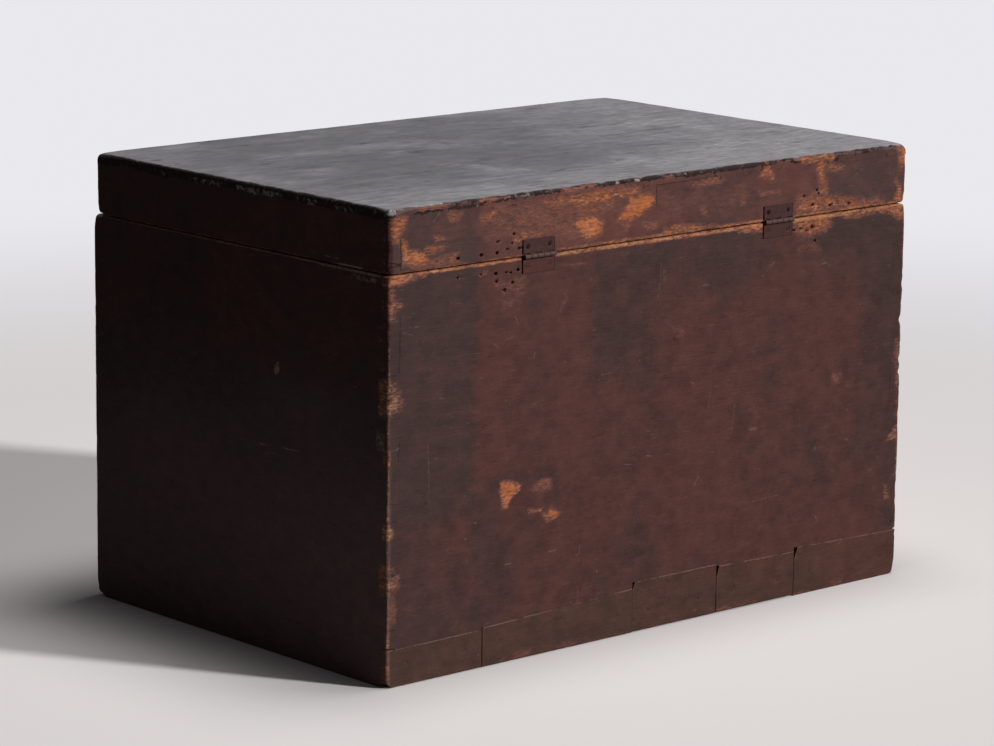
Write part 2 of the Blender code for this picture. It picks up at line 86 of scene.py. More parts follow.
# Sizes of the frame in millimetres
BACK_HIGH = node_box("back_upper_board")[1]
END_LOW, END_HIGH = node_box("right_end_lower_board")
RAIL_LOW, RAIL_HIGH = node_box("lid_back_rail")
TOP_FRONT_LOW, TOP_FRONT_HIGH = node_box("lid_top_front_board")
END_X, BACK_Y, RIM_Z = BACK_HIGH
FRONT_Y = END_LOW[1]
JOINT_Z = END_HIGH[2]
LENGTH = 2 * END_X
DEPTH = BACK_Y - FRONT_Y
WALL = END_HIGH[0] - END_LOW[0]
LID_X = RAIL_HIGH[0]
LID_FRONT_Y = TOP_FRONT_LOW[1]
LID_Z = RAIL_LOW[2]
RAIL_Z = RAIL_HIGH[2]
TOP_Z = node_box("lid_top_back_board")[1][2]
LID_SEAM_Y = TOP_FRONT_HIGH[1]
AXIS = np.array(frame["joints"][0]["pos_m"]) * MM

# Dovetails, as in the frame: pins at the outer face, how much wider they are at the baseline, the slit beside
# them, the baseline's distance from the end, and a hair's breadth by which grid lines are told apart
CARCASE_PINS = ((75.0, 141.0), (235.0, 301.0), (395.0, 461.0))
LID_PINS = ((LID_Z + 15.0, LID_Z + 44.0),)
FLARE = WALL / 7
SLIT = 0.04
BASELINE = WALL + SLIT
HAIR = 0.01

# Where the lower boards end, and the small spaces at the seam, over the rails and at the boards' ends
BOARD_JOINT = JOINT_Z + 0.15
SEAM_EASE = 0.4
RAIL_LAP = 0.2
TOP_EASE = 0.3
END_INSET = 0.28

# Worn edges: round of the foot, how much of the corners is gone at the foot, the rim and the lid's seam, how
# wide the wear of the top's corners is, the most its edge and corners are rounded, and the inner edges' round
FOOT_ROUND = 2.2
FOOT_CORNER = 14.0
RIM_CORNER = 9.0
LID_CORNER = 8.0
TOP_CORNER_SPREAD = 22
TOP_EDGE_MOST = 8.0
TOP_CORNER_MOST = 13.0
INNER_ROUND = 0.9

# Hinges: middles along the back from its right end, half length, reach from the axis, knuckles, screws; how
# far the plates and the tabs under the knuckles lie behind the back, and the dishes round the screws
HINGE_MIDDLES = (246.5, LENGTH - 246.5)
HINGE_HALF = 26.5
HINGE_REACH = 21.5
PLATE_START = 3.7
KNUCKLES = 5
KNUCKLE_RADIUS = 3.3
KNUCKLE_GAP = 0.2
PIN_RADIUS = 1.5
SCREW_INSET = 8.0
PLATE_SET = 0.25
PLATE_BACK = 2.0
DISH_DEPTH = 1.5
DISH_RADII = (2.0, 3.9)
TAB_SET = 0.4
TAB_THICK = 1.4
TAB_REACH = np.linspace(1.6, 4.6, 5)

# Seats of the hinges in the back: the gap round a leaf, the crack at one end, their depth, the lines at both
# sides of an edge, where the seats start and end along the back, and the grid lines for that
SEAT_GAP = 0.15
SEAT_CRACK = 2.2
SEAT_DEPTH = 2.3
SEAT_EDGE = np.array((-0.06, 0.06))
SEATS = [
    (middle - HINGE_HALF - SEAT_GAP - SEAT_CRACK, middle + HINGE_HALF + SEAT_GAP) for middle in HINGE_MIDDLES
]
SEAT_LINES = np.concatenate([side + SEAT_EDGE for seat in SEATS for side in seat])

# Fasteners: profiles of their heads as (radius, height), the tip, half the width and the depth of a screw's
# slot, and the points round a turned surface
SCREW_HEAD = [(radius, 0.0) for radius in np.linspace(0.15, 3.3, 12)] + [(3.4, -0.12), (1.7, -1.8)]
NAIL_DOME = [(2.6 * share, 0.25 * (1 - share**2)) for share in np.linspace(0.1, 1, 7)]
NAIL_HEAD = NAIL_DOME + [(2.55, -0.5), (2.4, -1.2), (1.3, -1.2)]
TIP_RADIUS = 0.3
TIP_LENGTH = 3
SLOT_HALF = 0.55
SLOT_DEPTH = 0.9
TURN_STEPS = 28

# Repair strips from the right end: start, end, foot, height at both ends, width and depth of the broken
# corner, and how far the face stands out
STRIPS = (
    (0.0, 157.6, 0.9, 49.0, 50.0, 1.0, 1.0, 0.0),
    (158.4, 418.6, 0.9, 52.0, 60.0, 1.5, 3.0, 0.25),
    (419.4, 572.6, 1.3, 68.0, 68.0, 5.0, 12.0, -0.3),
    (573.4, 719.6, 1.8, 65.0, 62.0, 5.0, 17.0, 0.1),
    (720.4, LENGTH, 0.0, 67.0, 62.0, 7.0, 17.0, 0.4),
)
STRIP_DEPTH = 10.0
STRIP_NAIL_RISE = 28.0
STRIP_NAIL_INSET = 30.0
STRIP_DIMPLE = 2.9
STRIP_EASE = 0.3
STRIP_ROUND = 0.3
STRIP_LAP = 0.45
STRIP_ROWS = 60
# Row of the lower back board's grid that is moved to the strips' upper edge, the step from it to the next,
# and how far it lies above the strips
REBATE_ROW = 60.0
REBATE_STEP = 0.1
REBATE_LIFT = 0.15

# Bare wood on the back: how bare, how soft its edge, and its outline as (distance from the right end, height)
BARE_ON_BACK = (
    (0.75, 5, (2, 588), (28, 588), (28, 576), (20, 571), (18, 560), (3, 560)),
    (0.82, 4, (20, 562), (27, 556), (34, 546), (58, 541), (66, 528), (58, 521), (44, 522), (22, 530)),
    (0.80, 4, (58, 546), (95, 545), (92, 541), (80, 541), (70, 538), (60, 533)),
    (0.68, 6, (66, 531), (112, 536), (112, 523), (60, 521)),
    (0.76, 3, (74, 560), (92, 557), (108, 556), (92, 553), (76, 554)),
    (0.74, 4, (94, 587), (118, 584), (112, 577), (98, 576)),
    (0.70, 5, (150, 578), (178, 584), (176, 576), (160, 570), (152, 572)),
    (0.34, 14, (155, 592), (345, 592), (345, 530), (280, 526), (225, 540), (160, 545)),
    (0.74, 4, (202, 534), (208, 546), (222, 552), (262, 545), (240, 541), (212, 537)),
    (0.74, 5, (250, 586), (330, 590), (420, 588), (420, 580), (400, 577), (350, 570), (300, 574), (255, 580)),
    (0.56, 6, (272, 572), (360, 576), (358, 558), (330, 562), (290, 566)),
    (1.08, 5, (304, 552), (318, 558), (346, 556), (358, 546), (352, 534), (328, 529), (316, 540)),
    (0.76, 4, (345, 585), (372, 584), (378, 575), (372, 566), (358, 572), (350, 580)),
    (1.08, 4, (380, 548), (386, 556), (398, 566), (404, 575), (440, 576), (449, 566), (440, 558), (424, 552),
     (412, 547), (396, 543)),
    (0.70, 3, (376, 546), (392, 543), (402, 540), (400, 533), (394, 536), (390, 541)),
    (0.64, 3, (424, 540), (450, 538), (450, 533), (436, 530), (428, 534)),
    (0.78, 3, (460, 521), (462, 530), (480, 532), (520, 528), (560, 524), (560, 521)),
    (0.62, 4, (505, 584), (560, 588), (576, 580), (550, 577), (510, 579)),
    (0.56, 4, (526, 549), (540, 549), (540, 540), (528, 541)),
    (0.50, 4, (600, 553), (612, 556), (612, 545), (602, 546)),
    (0.76, 4, (648, 600), (656, 594), (664, 578), (668, 574), (660, 572), (650, 574), (636, 580), (646, 588)),
    (0.50, 3, (632, 562), (676, 560), (676, 556), (640, 556)),
    (0.64, 3, (700, 600), (770, 600), (770, 594), (745, 591), (716, 592)),
    (0.74, 4, (746, 596), (762, 596), (760, 576), (762, 566), (770, 552), (766, 542), (750, 545), (752, 560),
     (746, 578)),
    (0.60, 4, (764, 588), (800, 582), (796, 573), (766, 574)),
    (0.62, 6, (706, 545), (714, 548), (770, 545), (820, 534), (880, 528), (880, 520), (706, 520)),
    (0.84, 4, (904, 600), (919, 594), (919, 572), (910, 566), (904, 580)),
    (0.82, 4, (900, 552), (912, 540), (919, 528), (908, 521), (898, 524), (902, 536)),
    (0.78, 3, (0, 512), (30, 517), (60, 518), (60, 512), (30, 508), (14, 504), (0, 506)),
    (0.66, 6, (702, 518), (770, 517), (776, 502), (760, 496), (744, 492), (716, 494), (706, 503)),
    (0.25, 8, (710, 492), (762, 492), (760, 468), (712, 470)),
    (0.76, 4, (915, 517), (919, 498), (905, 498), (890, 506), (860, 510), (830, 508), (800, 511), (780, 514)),
    (0.80, 3, (600, 518), (600, 508), (643, 507), (643, 518)),
    (0.52, 4, (0, 506), (10, 505), (12, 490), (24, 486), (24, 478), (12, 472), (10, 462), (0, 462)),
    (0.50, 3, (146, 507), (162, 508), (162, 502), (148, 502)),
    (0.22, 9, (160, 500), (228, 505), (226, 470), (200, 450), (186, 452), (170, 480)),
    (0.26, 4, (280, 503), (330, 500), (330, 496), (290, 498)),
    (0.42, 6, (0, 388), (14, 384), (24, 372), (28, 356), (18, 346), (0, 342)),
    (0.40, 6, (0, 156), (12, 152), (24, 142), (22, 130), (10, 124), (0, 124)),
    (0.70, 3, (0, 206), (8, 204), (8, 192), (0, 190)),
    (0.92, 2, (186, 236), (200, 234), (222, 229), (221, 221), (206, 214), (199, 202), (190, 201)),
    (0.36, 4, (230, 224), (238, 222), (258, 231), (274, 228), (274, 214), (252, 212), (238, 219)),
    (0.92, 2, (234, 193), (258, 192), (258, 189), (234, 189)),
    (0.74, 3, (256, 186), (268, 184), (272, 191), (280, 184), (290, 180), (280, 176), (268, 174)),
    (0.28, 6, (784, 300), (806, 300), (808, 288), (796, 276), (786, 284)),
    (0.46, 3, (624, 245), (642, 243), (644, 237), (630, 238)),
    (0.24, 2, (1, 78), (16, 78), (16, 124), (1, 124)),
    (0.62, 4, (900, 198), (920, 216), (920, 190), (898, 190)),
    (0.38, 4, (910, 330), (920, 334), (920, 212), (914, 220), (912, 262), (906, 296)),
    (0.15, 14, (345, 592), (640, 592), (640, 525), (345, 525)),
    (0.10, 14, (640, 592), (745, 592), (745, 536), (640, 536)),
    (0.22, 5, (476, 402), (500, 402), (508, 384), (490, 380)),
    (0.22, 6, (476, 276), (520, 262), (535, 246), (500, 250)),
    (0.18, 4, (460, 484), (470, 482), (470, 456), (460, 450)),
    (0.22, 5, (275, 425), (290, 440), (300, 470), (290, 470), (280, 440), (272, 412)),
    (0.16, 8, (60, 390), (80, 384), (100, 352), (82, 356)),
    (0.12, 7, (95, 75), (130, 62), (135, 40), (105, 48)),
    (0.22, 6, (150, 12), (330, 10), (330, 0), (150, 0)),
    (0.26, 5, (560, 8), (650, 9), (650, 0), (560, 0)),
    (0.30, 5, (790, 12), (820, 10), (815, 0), (790, 0)),
    (0.36, 4, (890, 130), (900, 128), (906, 108), (898, 106)),
)
# Bare edges along the seam of the back: (start, end), (lowest, highest), how bare; how soft they are
BARE_ALONG_SEAM = (
    (0, 220, 518, 521, 0.55), (276, 645, 518, 522.5, 0.76), (702, 920, 518, 522, 0.70),
    (0, 215, 515.2, 518, 0.85), (276, 645, 514, 518, 0.95), (702, 920, 513.5, 518, 0.85),
)
SEAM_SOFT = 1.6
# Redder and duller bands of paint on the back: (start, end), (lowest, highest), redness, how soft
PAINT_BANDS = (
    (-20, 136, 90, 530, -0.45, 40), (140, 180, 55, 240, -0.40, 16), (158, 330, 250, 520, 0.70, 24),
    (180, 340, 60, 250, 0.25, 40), (345, 480, 340, 515, -0.30, 24), (370, 520, 60, 330, 0.30, 40),
    (480, 850, 70, 430, 0.42, 60), (30, 132, 100, 190, 0.45, 25), (500, 640, 450, 515, -0.30, 24),
    (848, 940, 60, 500, -0.35, 26), (643, 664, 393, 440, 0.55, 6), (780, 918, 545, 600, -0.35, 30),
    (28, 155, 540, 590, -0.30, 14), (155, 460, 528, 592, 0.55, 24), (460, 720, 528, 590, 0.25, 24),
    (470, 640, 535, 575, -0.15, 20), (0, 420, 0, 45, -0.20, 20),
    (770, 850, 440, 515, -0.30, 24),
)
# Old nail holes in the back: distance from its right end, height, radius; their depth, how far from the seam
# they have grid lines of their own, and these lines
NAIL_HOLES = (
    (112, 528, 1.6), (150, 528, 1.5), (176, 528, 1.6), (193, 531, 1.3), (177, 542, 1.5), (204, 549, 1.4),
    (201, 538, 1.0), (213, 530, 1.5), (112, 504, 1.2), (150, 504, 1.0), (175, 502, 1.6), (176, 492, 1.6),
    (190, 480, 1.5), (203, 488, 1.6), (212, 503, 1.6), (192, 502, 1.0), (200, 501, 1.0), (228, 502, 1.1),
    (722, 546, 1.4), (739, 533, 2.0), (773, 529, 1.8), (809, 528, 1.6), (746, 552, 1.3), (749, 547, 1.0),
    (739, 503, 2.5), (745, 484, 1.3), (717, 503, 1.2), (728, 499, 1.1), (704, 502, 1.0),
)
HOLE_DEPTH = 3.5
HOLE_CLEAR = 3
HOLE_SPREAD = np.array([(-radius, 0, radius) for _, _, radius in NAIL_HOLES])
HOLE_COLUMNS = (np.array([[across] for across, _, _ in NAIL_HOLES]) + HOLE_SPREAD).ravel()
HOLE_ROWS = (np.array([[height] for _, height, _ in NAIL_HOLES]) + HOLE_SPREAD).ravel()

# Edge of the lid's top: dark, bare and chipped stretches along the back and chips along the right end, each
# (start, end), (lowest, highest), strength, how soft. The chips near the back's right end are partly
# painted glints.
BACK_EDGE_DARK = (
    (-2, 14, 590.8, 599.7, 0.9, 2), (40, 84, 590.4, 592.3, 1, 1.4), (92, 154, 590, 593.1, 1, 1.6),
    (98, 142, 595.8, 599.7, 0.7, 2), (154, 206, 592.8, 594.5, 0.85, 1.4), (204, 284, 594.4, 598.7, 0.85, 2),
    (344, 464, 595.2, 598.3, 0.95, 1.6), (476, 506, 594.8, 597.5, 0.7, 1.6), (504, 612, 593.6, 598.5, 1, 1.8),
    (600, 656, 593.6, 598.7, 1, 1.8), (654, 692, 595.8, 597.7, 0.65, 1.8),
    (690, 724, 592.2, 593.5, 0.95, 1.4),
    (752, 780, 589.6, 591.3, 0.95, 1.4), (778, 902, 595.4, 599.3, 0.5, 3),
)
BACK_EDGE_BARE = (
    (42, 92, 594.4, 598, 0.36, 3), (145, 171, 594.6, 601, 0.52, 3.5), (278, 352, 593.6, 601, 0.42, 4),
    (460, 502, 594.6, 600, 0.34, 4), (640, 652, 593, 599, 0.42, 3), (714, 770, 590.6, 599, 0.58, 3.5),
    (160, 202, 595, 600, 0.32, 3.5),
)
# Pale chips; near the right end, the brightest are painted glints on the rounded edge
BACK_EDGE_CHIPS_AND_GLINTS = (
    (6, 34, 592.5, 597.5, 1.1, 2), (30, 58, 594.5, 598.5, 0.85, 2), (56, 86, 596.5, 600.5, 0.75, 1.6),
    (205, 242, 595, 600, 0.5, 3), (258, 272, 596, 600, 0.5, 3),
    (408, 420, 595.6, 598.6, 0.95, 2), (372, 380, 596, 599, 0.6, 2), (560, 584, 596, 600, 0.45, 2),
)
END_EDGE_CHIPS = (
    (72, 104, 586, 593, 0.62, 3), (138, 182, 586, 593, 0.66, 3), (212, 300, 585, 593, 0.66, 3),
    (328, 388, 585, 592, 0.56, 3), (8, 30, 588, 594, 0.5, 3), (440, 456, 588, 592, 0.5, 3),
    (520, 530, 588, 592, 0.5, 3),
)
# Pale lines and nicks on the right end: (start, end) from the back, (lowest, highest), strength, how soft
END_PALE_LINES = (
    (14, 134, 514.8, 517.4, 0.62, 1.2), (134, 300, 515.6, 517.4, 0.62, 1.0), (300, 470, 516, 517.4, 0.5, 1.0),
    (52, 96, 519.5, 521, 0.8, 1.2), (82, 122, 526, 527.4, 0.62, 1.2), (172, 206, 270.6, 272, 0.62, 1.2),
    (206, 300, 258, 259.2, 0.48, 2.0), (236, 290, 268, 269.2, 0.5, 1.5), (8, 20, 300, 322, 0.52, 6),
    (9, 13, 400, 512, 0.30, 5), (9, 13, 530, 590, 0.34, 5), (212, 216, 369, 378, 0.75, 4),
    (215, 220, 365, 373, 0.8, 4), (22, 70, 506, 511, 0.5, 3),
    (14, 18, 436, 440, 0.8, 2),
)
# Wood laid bare on the end along its near corner, in the same measures
END_CORNER_CHIPS = (
    (0, 14, 346, 386, 0.55, 8), (0, 8, 190, 206, 0.75, 4), (0, 13, 122, 154, 0.5, 8),
    (0, 8, 284, 300, 0.4, 5),
    (0, 10, 504, 518, 0.6, 5), (0, 9, 0, 30, 0.4, 6),
)
# Scratches on the back, from point to point, and half their width
SCRATCHES = (
    (68, 227, 66, 299, 0.5), (24, 452, 48, 451, 0.7), (24, 446, 40, 441, 0.5), (208, 444, 213, 434, 0.7),
    (172, 414, 180, 409, 0.7), (190, 416, 205, 420, 0.5), (357, 351, 372, 352, 0.7),
    (242, 394, 240, 388, 1.2),
    (535, 448, 546, 446, 1.5), (654, 454, 668, 463, 1.0), (758, 451, 768, 452, 1.2),
    (595, 242, 600, 281, 0.5),
    (322, 54, 322, 80, 0.45), (322, 112, 325, 135, 0.5), (551, 278, 555, 308, 0.4), (518, 321, 523, 318, 1.0),
    (723, 236, 724, 246, 0.8), (755, 200, 758, 199, 1.7), (816, 203, 818, 202, 1.4),
    (528, 182, 536, 194, 0.7),
    (640, 188, 650, 185, 0.8), (625, 143, 690, 145, 0.5), (270, 133, 282, 133, 0.8),
    (195, 128, 205, 128, 0.8),
    (300, 170, 310, 168, 0.6), (440, 234, 448, 232, 0.8), (760, 104, 764, 98, 0.8), (72, 578, 84, 592, 0.8),
    (62, 576, 62, 590, 0.5), (815, 560, 823, 568, 0.8), (830, 571, 838, 574, 0.9), (456, 440, 460, 486, 0.5),
    (355, 94, 356, 91, 1.0), (230, 500, 246, 503, 0.6), (440, 267, 450, 264, 0.6), (400, 228, 416, 226, 0.6),
)
# Cracks in the back, from point to point, and half their width
CRACKS = (
    (449, 562, 449, 587, 0.8), (449, 587, 560, 588, 0.5), (0, 529, 19, 530, 1.6), (19, 561, 20, 524, 0.9),
    (18, 286, 19, 311, 0.8), (18, 396, 19, 466, 0.7),
)
# Worn corners: height, reach up and down, and extra radius of the round
CORNER_CHIPS = {
    "near": ((518, 10, 3.0), (0, 14, 3.0), (198, 8, 3.0), (368, 18, 2.0), (142, 16, 2.0), (300, 10, 2.0),
             (92, 8, 1.5), (450, 12, 1.0), (250, 7, 1.5)),
    "far_back": ((518, 10, 3.0), (0, 14, 4.0), (356, 5, 6.0), (303, 6, 5.0), (284, 4, 5.0), (408, 5, 2.5),
                 (215, 14, 1.5), (120, 12, 1.0)),
    "front_right": ((518, 10, 3.0), (0, 14, 4.0), (210, 10, 1.0), (400, 9, 1.0)),
    "front_left": ((518, 10, 3.0), (0, 14, 4.0), (330, 10, 2.0), (90, 12, 2.0)),
}
# Upright corners: least round of the carcase's and of the lid's, and how rough they are worn
CORNER_ROUNDS = {
    "near": (2.0, 8.0, 1.0), "far_back": (1.4, 2.6, 0.7), "front_right": (1.2, 3.5, 0.35),
    "front_left": (1.6, 6.0, 0.8),
}
# Shares of the way through the lid's top at which its edge has points, and closer lines along a board's edge
LID_EDGE_LAYERS = np.linspace(0.03, 0.97, 15)
EDGE_OFFSETS = np.array((0.0, 0.35, 0.9, 1.7, 2.8, 4.2, 6.0, 8.2, 11.0, 14.0, 17.0))

# Spacing of the grids of the strips, floor boards and hinge leaves, and of the lid's top in fine spacings
STRIP_GRID = (2.8, 2.6)
FLOOR_GRID = 9.0
PLATE_GRID = 1.1
TOP_GRID = 1.3

# Looks: stretch of an even pattern and of the wood's grain along each axis, the dark of holes, the studio's
# tint, and the angle past which an edge is sharp
EVEN = (1, 1, 1)
WALL_GRAIN = (11, 11, 210)
TOP_GRAIN = (11, 210, 210)
HOLE_DARK = (0.016, 0.006, 0.003)
STUDIO_TINT = (0.963, 0.955, 1.0)
SHARP_ANGLE = radians(38)

# Stage: floor, lens and sensor in millimetres, lamps and camera in metres
FLOOR_HALF = 24000.0
FLOOR_THICK = 20.0
CHEST_MIDDLE = Vector((0, 0, 0.3))
KEY_OFFSET = Vector((-0.469, 0.795, 0.384)) * 5
KEY_ANGLE = radians(5)
FILL_OFFSET = Vector((-0.3, 0.2, 3.2))
FILL_SIZE = 1.2
CAMERA_PLACE = (3.5512, 3.9373, 1.3746)
CAMERA_AZIMUTH, CAMERA_ELEVATION, CAMERA_ROLL = radians(138.07), radians(11.53), radians(0.65)
CAMERA_LENS = 145.33
CAMERA_SENSOR = 36.0


def hashed(lattice, seed):
    """A fixed value from 0 to 1 for each whole-number point: its coordinates are mixed as 32-bit numbers."""
    mixed = np.full(lattice.shape[:-1], seed * 2654435761 % 2**32, np.uint32)
    for axis, prime in enumerate((374761393, 668265263, 2246822519)[: lattice.shape[-1]]):
        mixed = mixed ^ (lattice[..., axis].astype(np.int64).astype(np.uint32) * np.uint32(prime))
        mixed = (mixed ^ (mixed >> np.uint32(15))) * np.uint32(2246822507)
        mixed = (mixed ^ (mixed >> np.uint32(13))) * np.uint32(3266489909)
    return (mixed ^ (mixed >> np.uint32(16))) / float(2**32)


def smooth_noise(points, seed):
    """Noise from 0 to 1: values at the whole-number points, blended with 3t^2 - 2t^3 in between."""
    base = np.floor(points)
    part = points - base
    blend = part * part * (3 - 2 * part)
    total = 0.0
    dimensions = points.shape[-1]
    for corner in range(2**dimensions):
        offset = np.array([(corner >> axis) & 1 for axis in range(dimensions)])
        weight = np.prod(np.where(offset, blend, 1 - blend), axis=-1)
        total = total + weight * hashed(base + offset, seed)
    return total


def rough_noise(points, seed, octaves=4):
    """Sum of noises, each twice as fine and half as strong as the one before, from 0 to 1."""
    total, strength, reach = 0.0, 1.0, 0.0
    for octave in range(octaves):
        total = total + strength * smooth_noise(points * 2.0**octave, seed + octave)
        reach += strength
        strength /= 2
    return total / reach


def along(values, size, seed, octaves=3):
    """Noise along one measure, with the given size of its largest waves."""
    return rough_noise(np.asarray(values, float)[..., None] / size, seed, octaves)


def over(first, second, first_size, second_size, seed, octaves=4):
    """Noise over two measures, each with its own size of the largest waves."""
    return rough_noise(np.stack((first / first_size, second / second_size), axis=-1), seed, octaves)


def ramp(value, low, high):
    """0 below low, 1 above high, and 3t^2 - 2t^3 between."""
    share = np.clip((value - low) / (high - low), 0, 1)
    return share * share * (3 - 2 * share)


def soft_box(first, second, start, end, low, high, soft):
    """1 inside a rectangle, falling to 0 over the given distance outside it."""
    across = np.maximum(np.maximum(start - first, first - end), 0)
    upward = np.maximum(np.maximum(low - second, second - high), 0)
    return 1 - ramp(np.hypot(across, upward), 0, soft)


def fall(distance, radius):
    """How far a rounded edge has fallen at a distance from it: r - sqrt(r^2 - (r - d)^2), and 0 past r."""
    inner = np.clip(radius - distance, 0, radius)
    return radius - np.sqrt(np.maximum(radius**2 - inner**2, 0))


def outline_field(first, second, outline):
    """Signed distance to a closed outline, positive inside: nearest edge, with the side from crossings."""
    corners = np.array(outline, float)
    ends = np.roll(corners, -1, axis=0)
    near, inside = np.full(first.shape, 1e9), np.zeros(first.shape, bool)
    for (x0, z0), (x1, z1) in zip(corners, ends):
        reach = (x1 - x0) ** 2 + (z1 - z0) ** 2
        share = np.clip(((first - x0) * (x1 - x0) + (second - z0) * (z1 - z0)) / reach, 0, 1)
        near = np.minimum(near, np.hypot(first - x0 - share * (x1 - x0), second - z0 - share * (z1 - z0)))
        if z0 != z1:
            inside ^= ((z0 > second) != (z1 > second)) & (first < x0 + (second - z0) * (x1 - x0) / (z1 - z0))
    return np.where(inside, near, -near)


def lines(must, spacing, low, high):
    """Grid lines from low to high: all that must be there, and even ones 0.45 of a space or more away."""
    low, high = round(float(low), 4), round(float(high), 4)
    must = np.unique(np.round(np.concatenate((np.ravel(must), (low, high))), 4))
    must = must[(must >= low) & (must <= high)]
    filler = np.linspace(low, high, max(2, int(round((high - low) / spacing)) + 1))
    free = np.abs(filler[:, None] - must[None]).min(axis=1) > 0.45 * spacing
    return np.sort(np.concatenate((must, filler[free])))


def edge_lines(low, high):
    """Close lines along both edges of a board, where their round needs them."""
    return np.concatenate((low + EDGE_OFFSETS, high - EDGE_OFFSETS))


def slab(outer, inner, present=None, layers=(0.06, 0.2, 0.4, 0.6, 0.8, 0.95)):
    """Closed solid between two facing sheets of the same grid.

    Each present cell has a face on both sheets, and each edge between a present and a missing cell a wall
    whose points lie at the layers' shares of the way from the outer to the inner sheet.
    """
    rows, columns = outer.shape[:2]
    if present is None:
        present = np.ones((rows - 1, columns - 1), bool)
    index = np.arange(rows * columns).reshape(rows, columns)
    cells = np.stack((index[:-1, :-1], index[:-1, 1:], index[1:, 1:], index[1:, :-1]), axis=-1)
    front = cells[present]
    count = rows * columns
    back = front[:, ::-1] + count
    padded = np.pad(present, 1)
    neighbours = (padded[:-2, 1:-1], padded[1:-1, 2:], padded[2:, 1:-1], padded[1:-1, :-2])
    rim = np.concatenate(
        [cells[present & ~other][:, [side, (side + 1) % 4]] for side, other in enumerate(neighbours)]
    )
    rim_nodes, place = np.unique(rim, return_inverse=True)
    place = place.reshape(rim.shape)
    flat_outer, flat_inner = outer.reshape(-1, 3), inner.reshape(-1, 3)
    points = [flat_outer, flat_inner]
    rings = [rim]
    for number, share in enumerate(layers):
        points.append(flat_outer[rim_nodes] * (1 - share) + flat_inner[rim_nodes] * share)
        rings.append(place + 2 * count + number * len(rim_nodes))
    rings.append(rim + count)
    walls = [
        np.stack((upper[:, 1], upper[:, 0], lower[:, 0], lower[:, 1]), axis=-1)
        for upper, lower in zip(rings, rings[1:])
    ]
    faces = np.concatenate((front, back, *walls))
    points = np.concatenate(points)
    used, faces = np.unique(faces, return_inverse=True)
    return points[used], faces.reshape(-1, 4)


class Face:
    """Local measures of one side: along it, up it and out of it, and their place in the frame."""

    def __init__(self, origin, across, outward, upward=(0, 0, 1)):
        self.origin = np.array(origin, float)
        self.axes = np.array((across, outward, upward), float)
        self.turned = np.dot(np.cross(self.axes[0], self.axes[2]), self.axes[1]) < 0

    def world(self, points):
        """Points given as (along, out, up), in the frame's millimetres."""
        return self.origin + points @ self.axes

    def solid(self, *sheets, **options):
        """A slab between sheets given in local measures: its points in the frame and its faces, outward."""
        points, faces = slab(*sheets, **options)
        return self.world(points), faces[:, ::-1] if self.turned else faces


BACK = Face((END_X, BACK_Y, 0), (-1, 0, 0), (0, 1, 0))
RIGHT_END = Face((END_X, BACK_Y, 0), (0, -1, 0), (1, 0, 0))
FRONT = Face((END_X, FRONT_Y, 0), (-1, 0, 0), (0, -1, 0))
LEFT_END = Face((-END_X, BACK_Y, 0), (0, -1, 0), (-1, 0, 0))
LID_BACK = Face((LID_X, BACK_Y, 0), (-1, 0, 0), (0, 1, 0))
LID_RIGHT = Face((LID_X, BACK_Y, 0), (0, -1, 0), (1, 0, 0))
LID_FRONT = Face((LID_X, LID_FRONT_Y, 0), (-1, 0, 0), (0, -1, 0))
LID_LEFT = Face((-LID_X, BACK_Y, 0), (0, -1, 0), (-1, 0, 0))
TOP_BACK = Face((LID_X, BACK_Y, TOP_Z), (-1, 0, 0), (0, 0, 1), (0, -1, 0))
TOP_FRONT = Face((LID_X, LID_FRONT_Y, TOP_Z), (-1, 0, 0), (0, 0, 1), (0, 1, 0))

# Sides of the chest: face of the carcase and of the lid, whether its boards have the tails, corners, seed;
# and what the lid's rails add to the seed
SIDES = {
    "back": (BACK, LID_BACK, True, ("near", "far_back"), 11),
    "right": (RIGHT_END, LID_RIGHT, False, ("near", "front_right"), 11),
    "front": (FRONT, LID_FRONT, True, ("front_right", "front_left"), 21),
    "left": (LEFT_END, LID_LEFT, False, ("far_back", "front_left"), 21),
}
LID_SEED = 200


def corner_radius(corner, height, lid=False):
    """Radius of a worn upright corner: a least round, rough noise along the height, and listed chips."""
    seed = 500 + 20 * sorted(CORNER_CHIPS).index(corner)
    carcase_round, lid_round, rough = CORNER_ROUNDS[corner]
    worn = ramp(along(height, 34, seed), 0.45, 0.85) * 2.6
    worn = (worn + ramp(along(height, 9, seed + 7, 2), 0.55, 0.95) * 2.2) * rough
    for middle, reach, extra in CORNER_CHIPS[corner]:
        worn = worn + extra * np.exp(-(((height - middle) / reach) ** 2))
    return (lid_round if lid else carcase_round) + worn


def soft_pits(first, second, pits, depth):
    """Depth of round pits: full in the middle, falling as exp(-(d / 1.25 r)^4)."""
    total = np.zeros(np.broadcast(first, second).shape)
    for across, upward, radius in pits:
        near = np.hypot(first - across, second - upward) / (radius * 1.25)
        total = np.maximum(total, np.exp(-(near**4)))
    return total * depth


def seat_depth(across, height):
    """Depth of the hinges' seats: full inside them and none outside."""
    inside = np.any([(across > start) & (across < end) for start, end in SEATS], axis=0)
    inside &= np.abs(height - AXIS[2]) < HINGE_REACH + SEAT_GAP
    return np.where(inside, SEAT_DEPTH, 0.0)


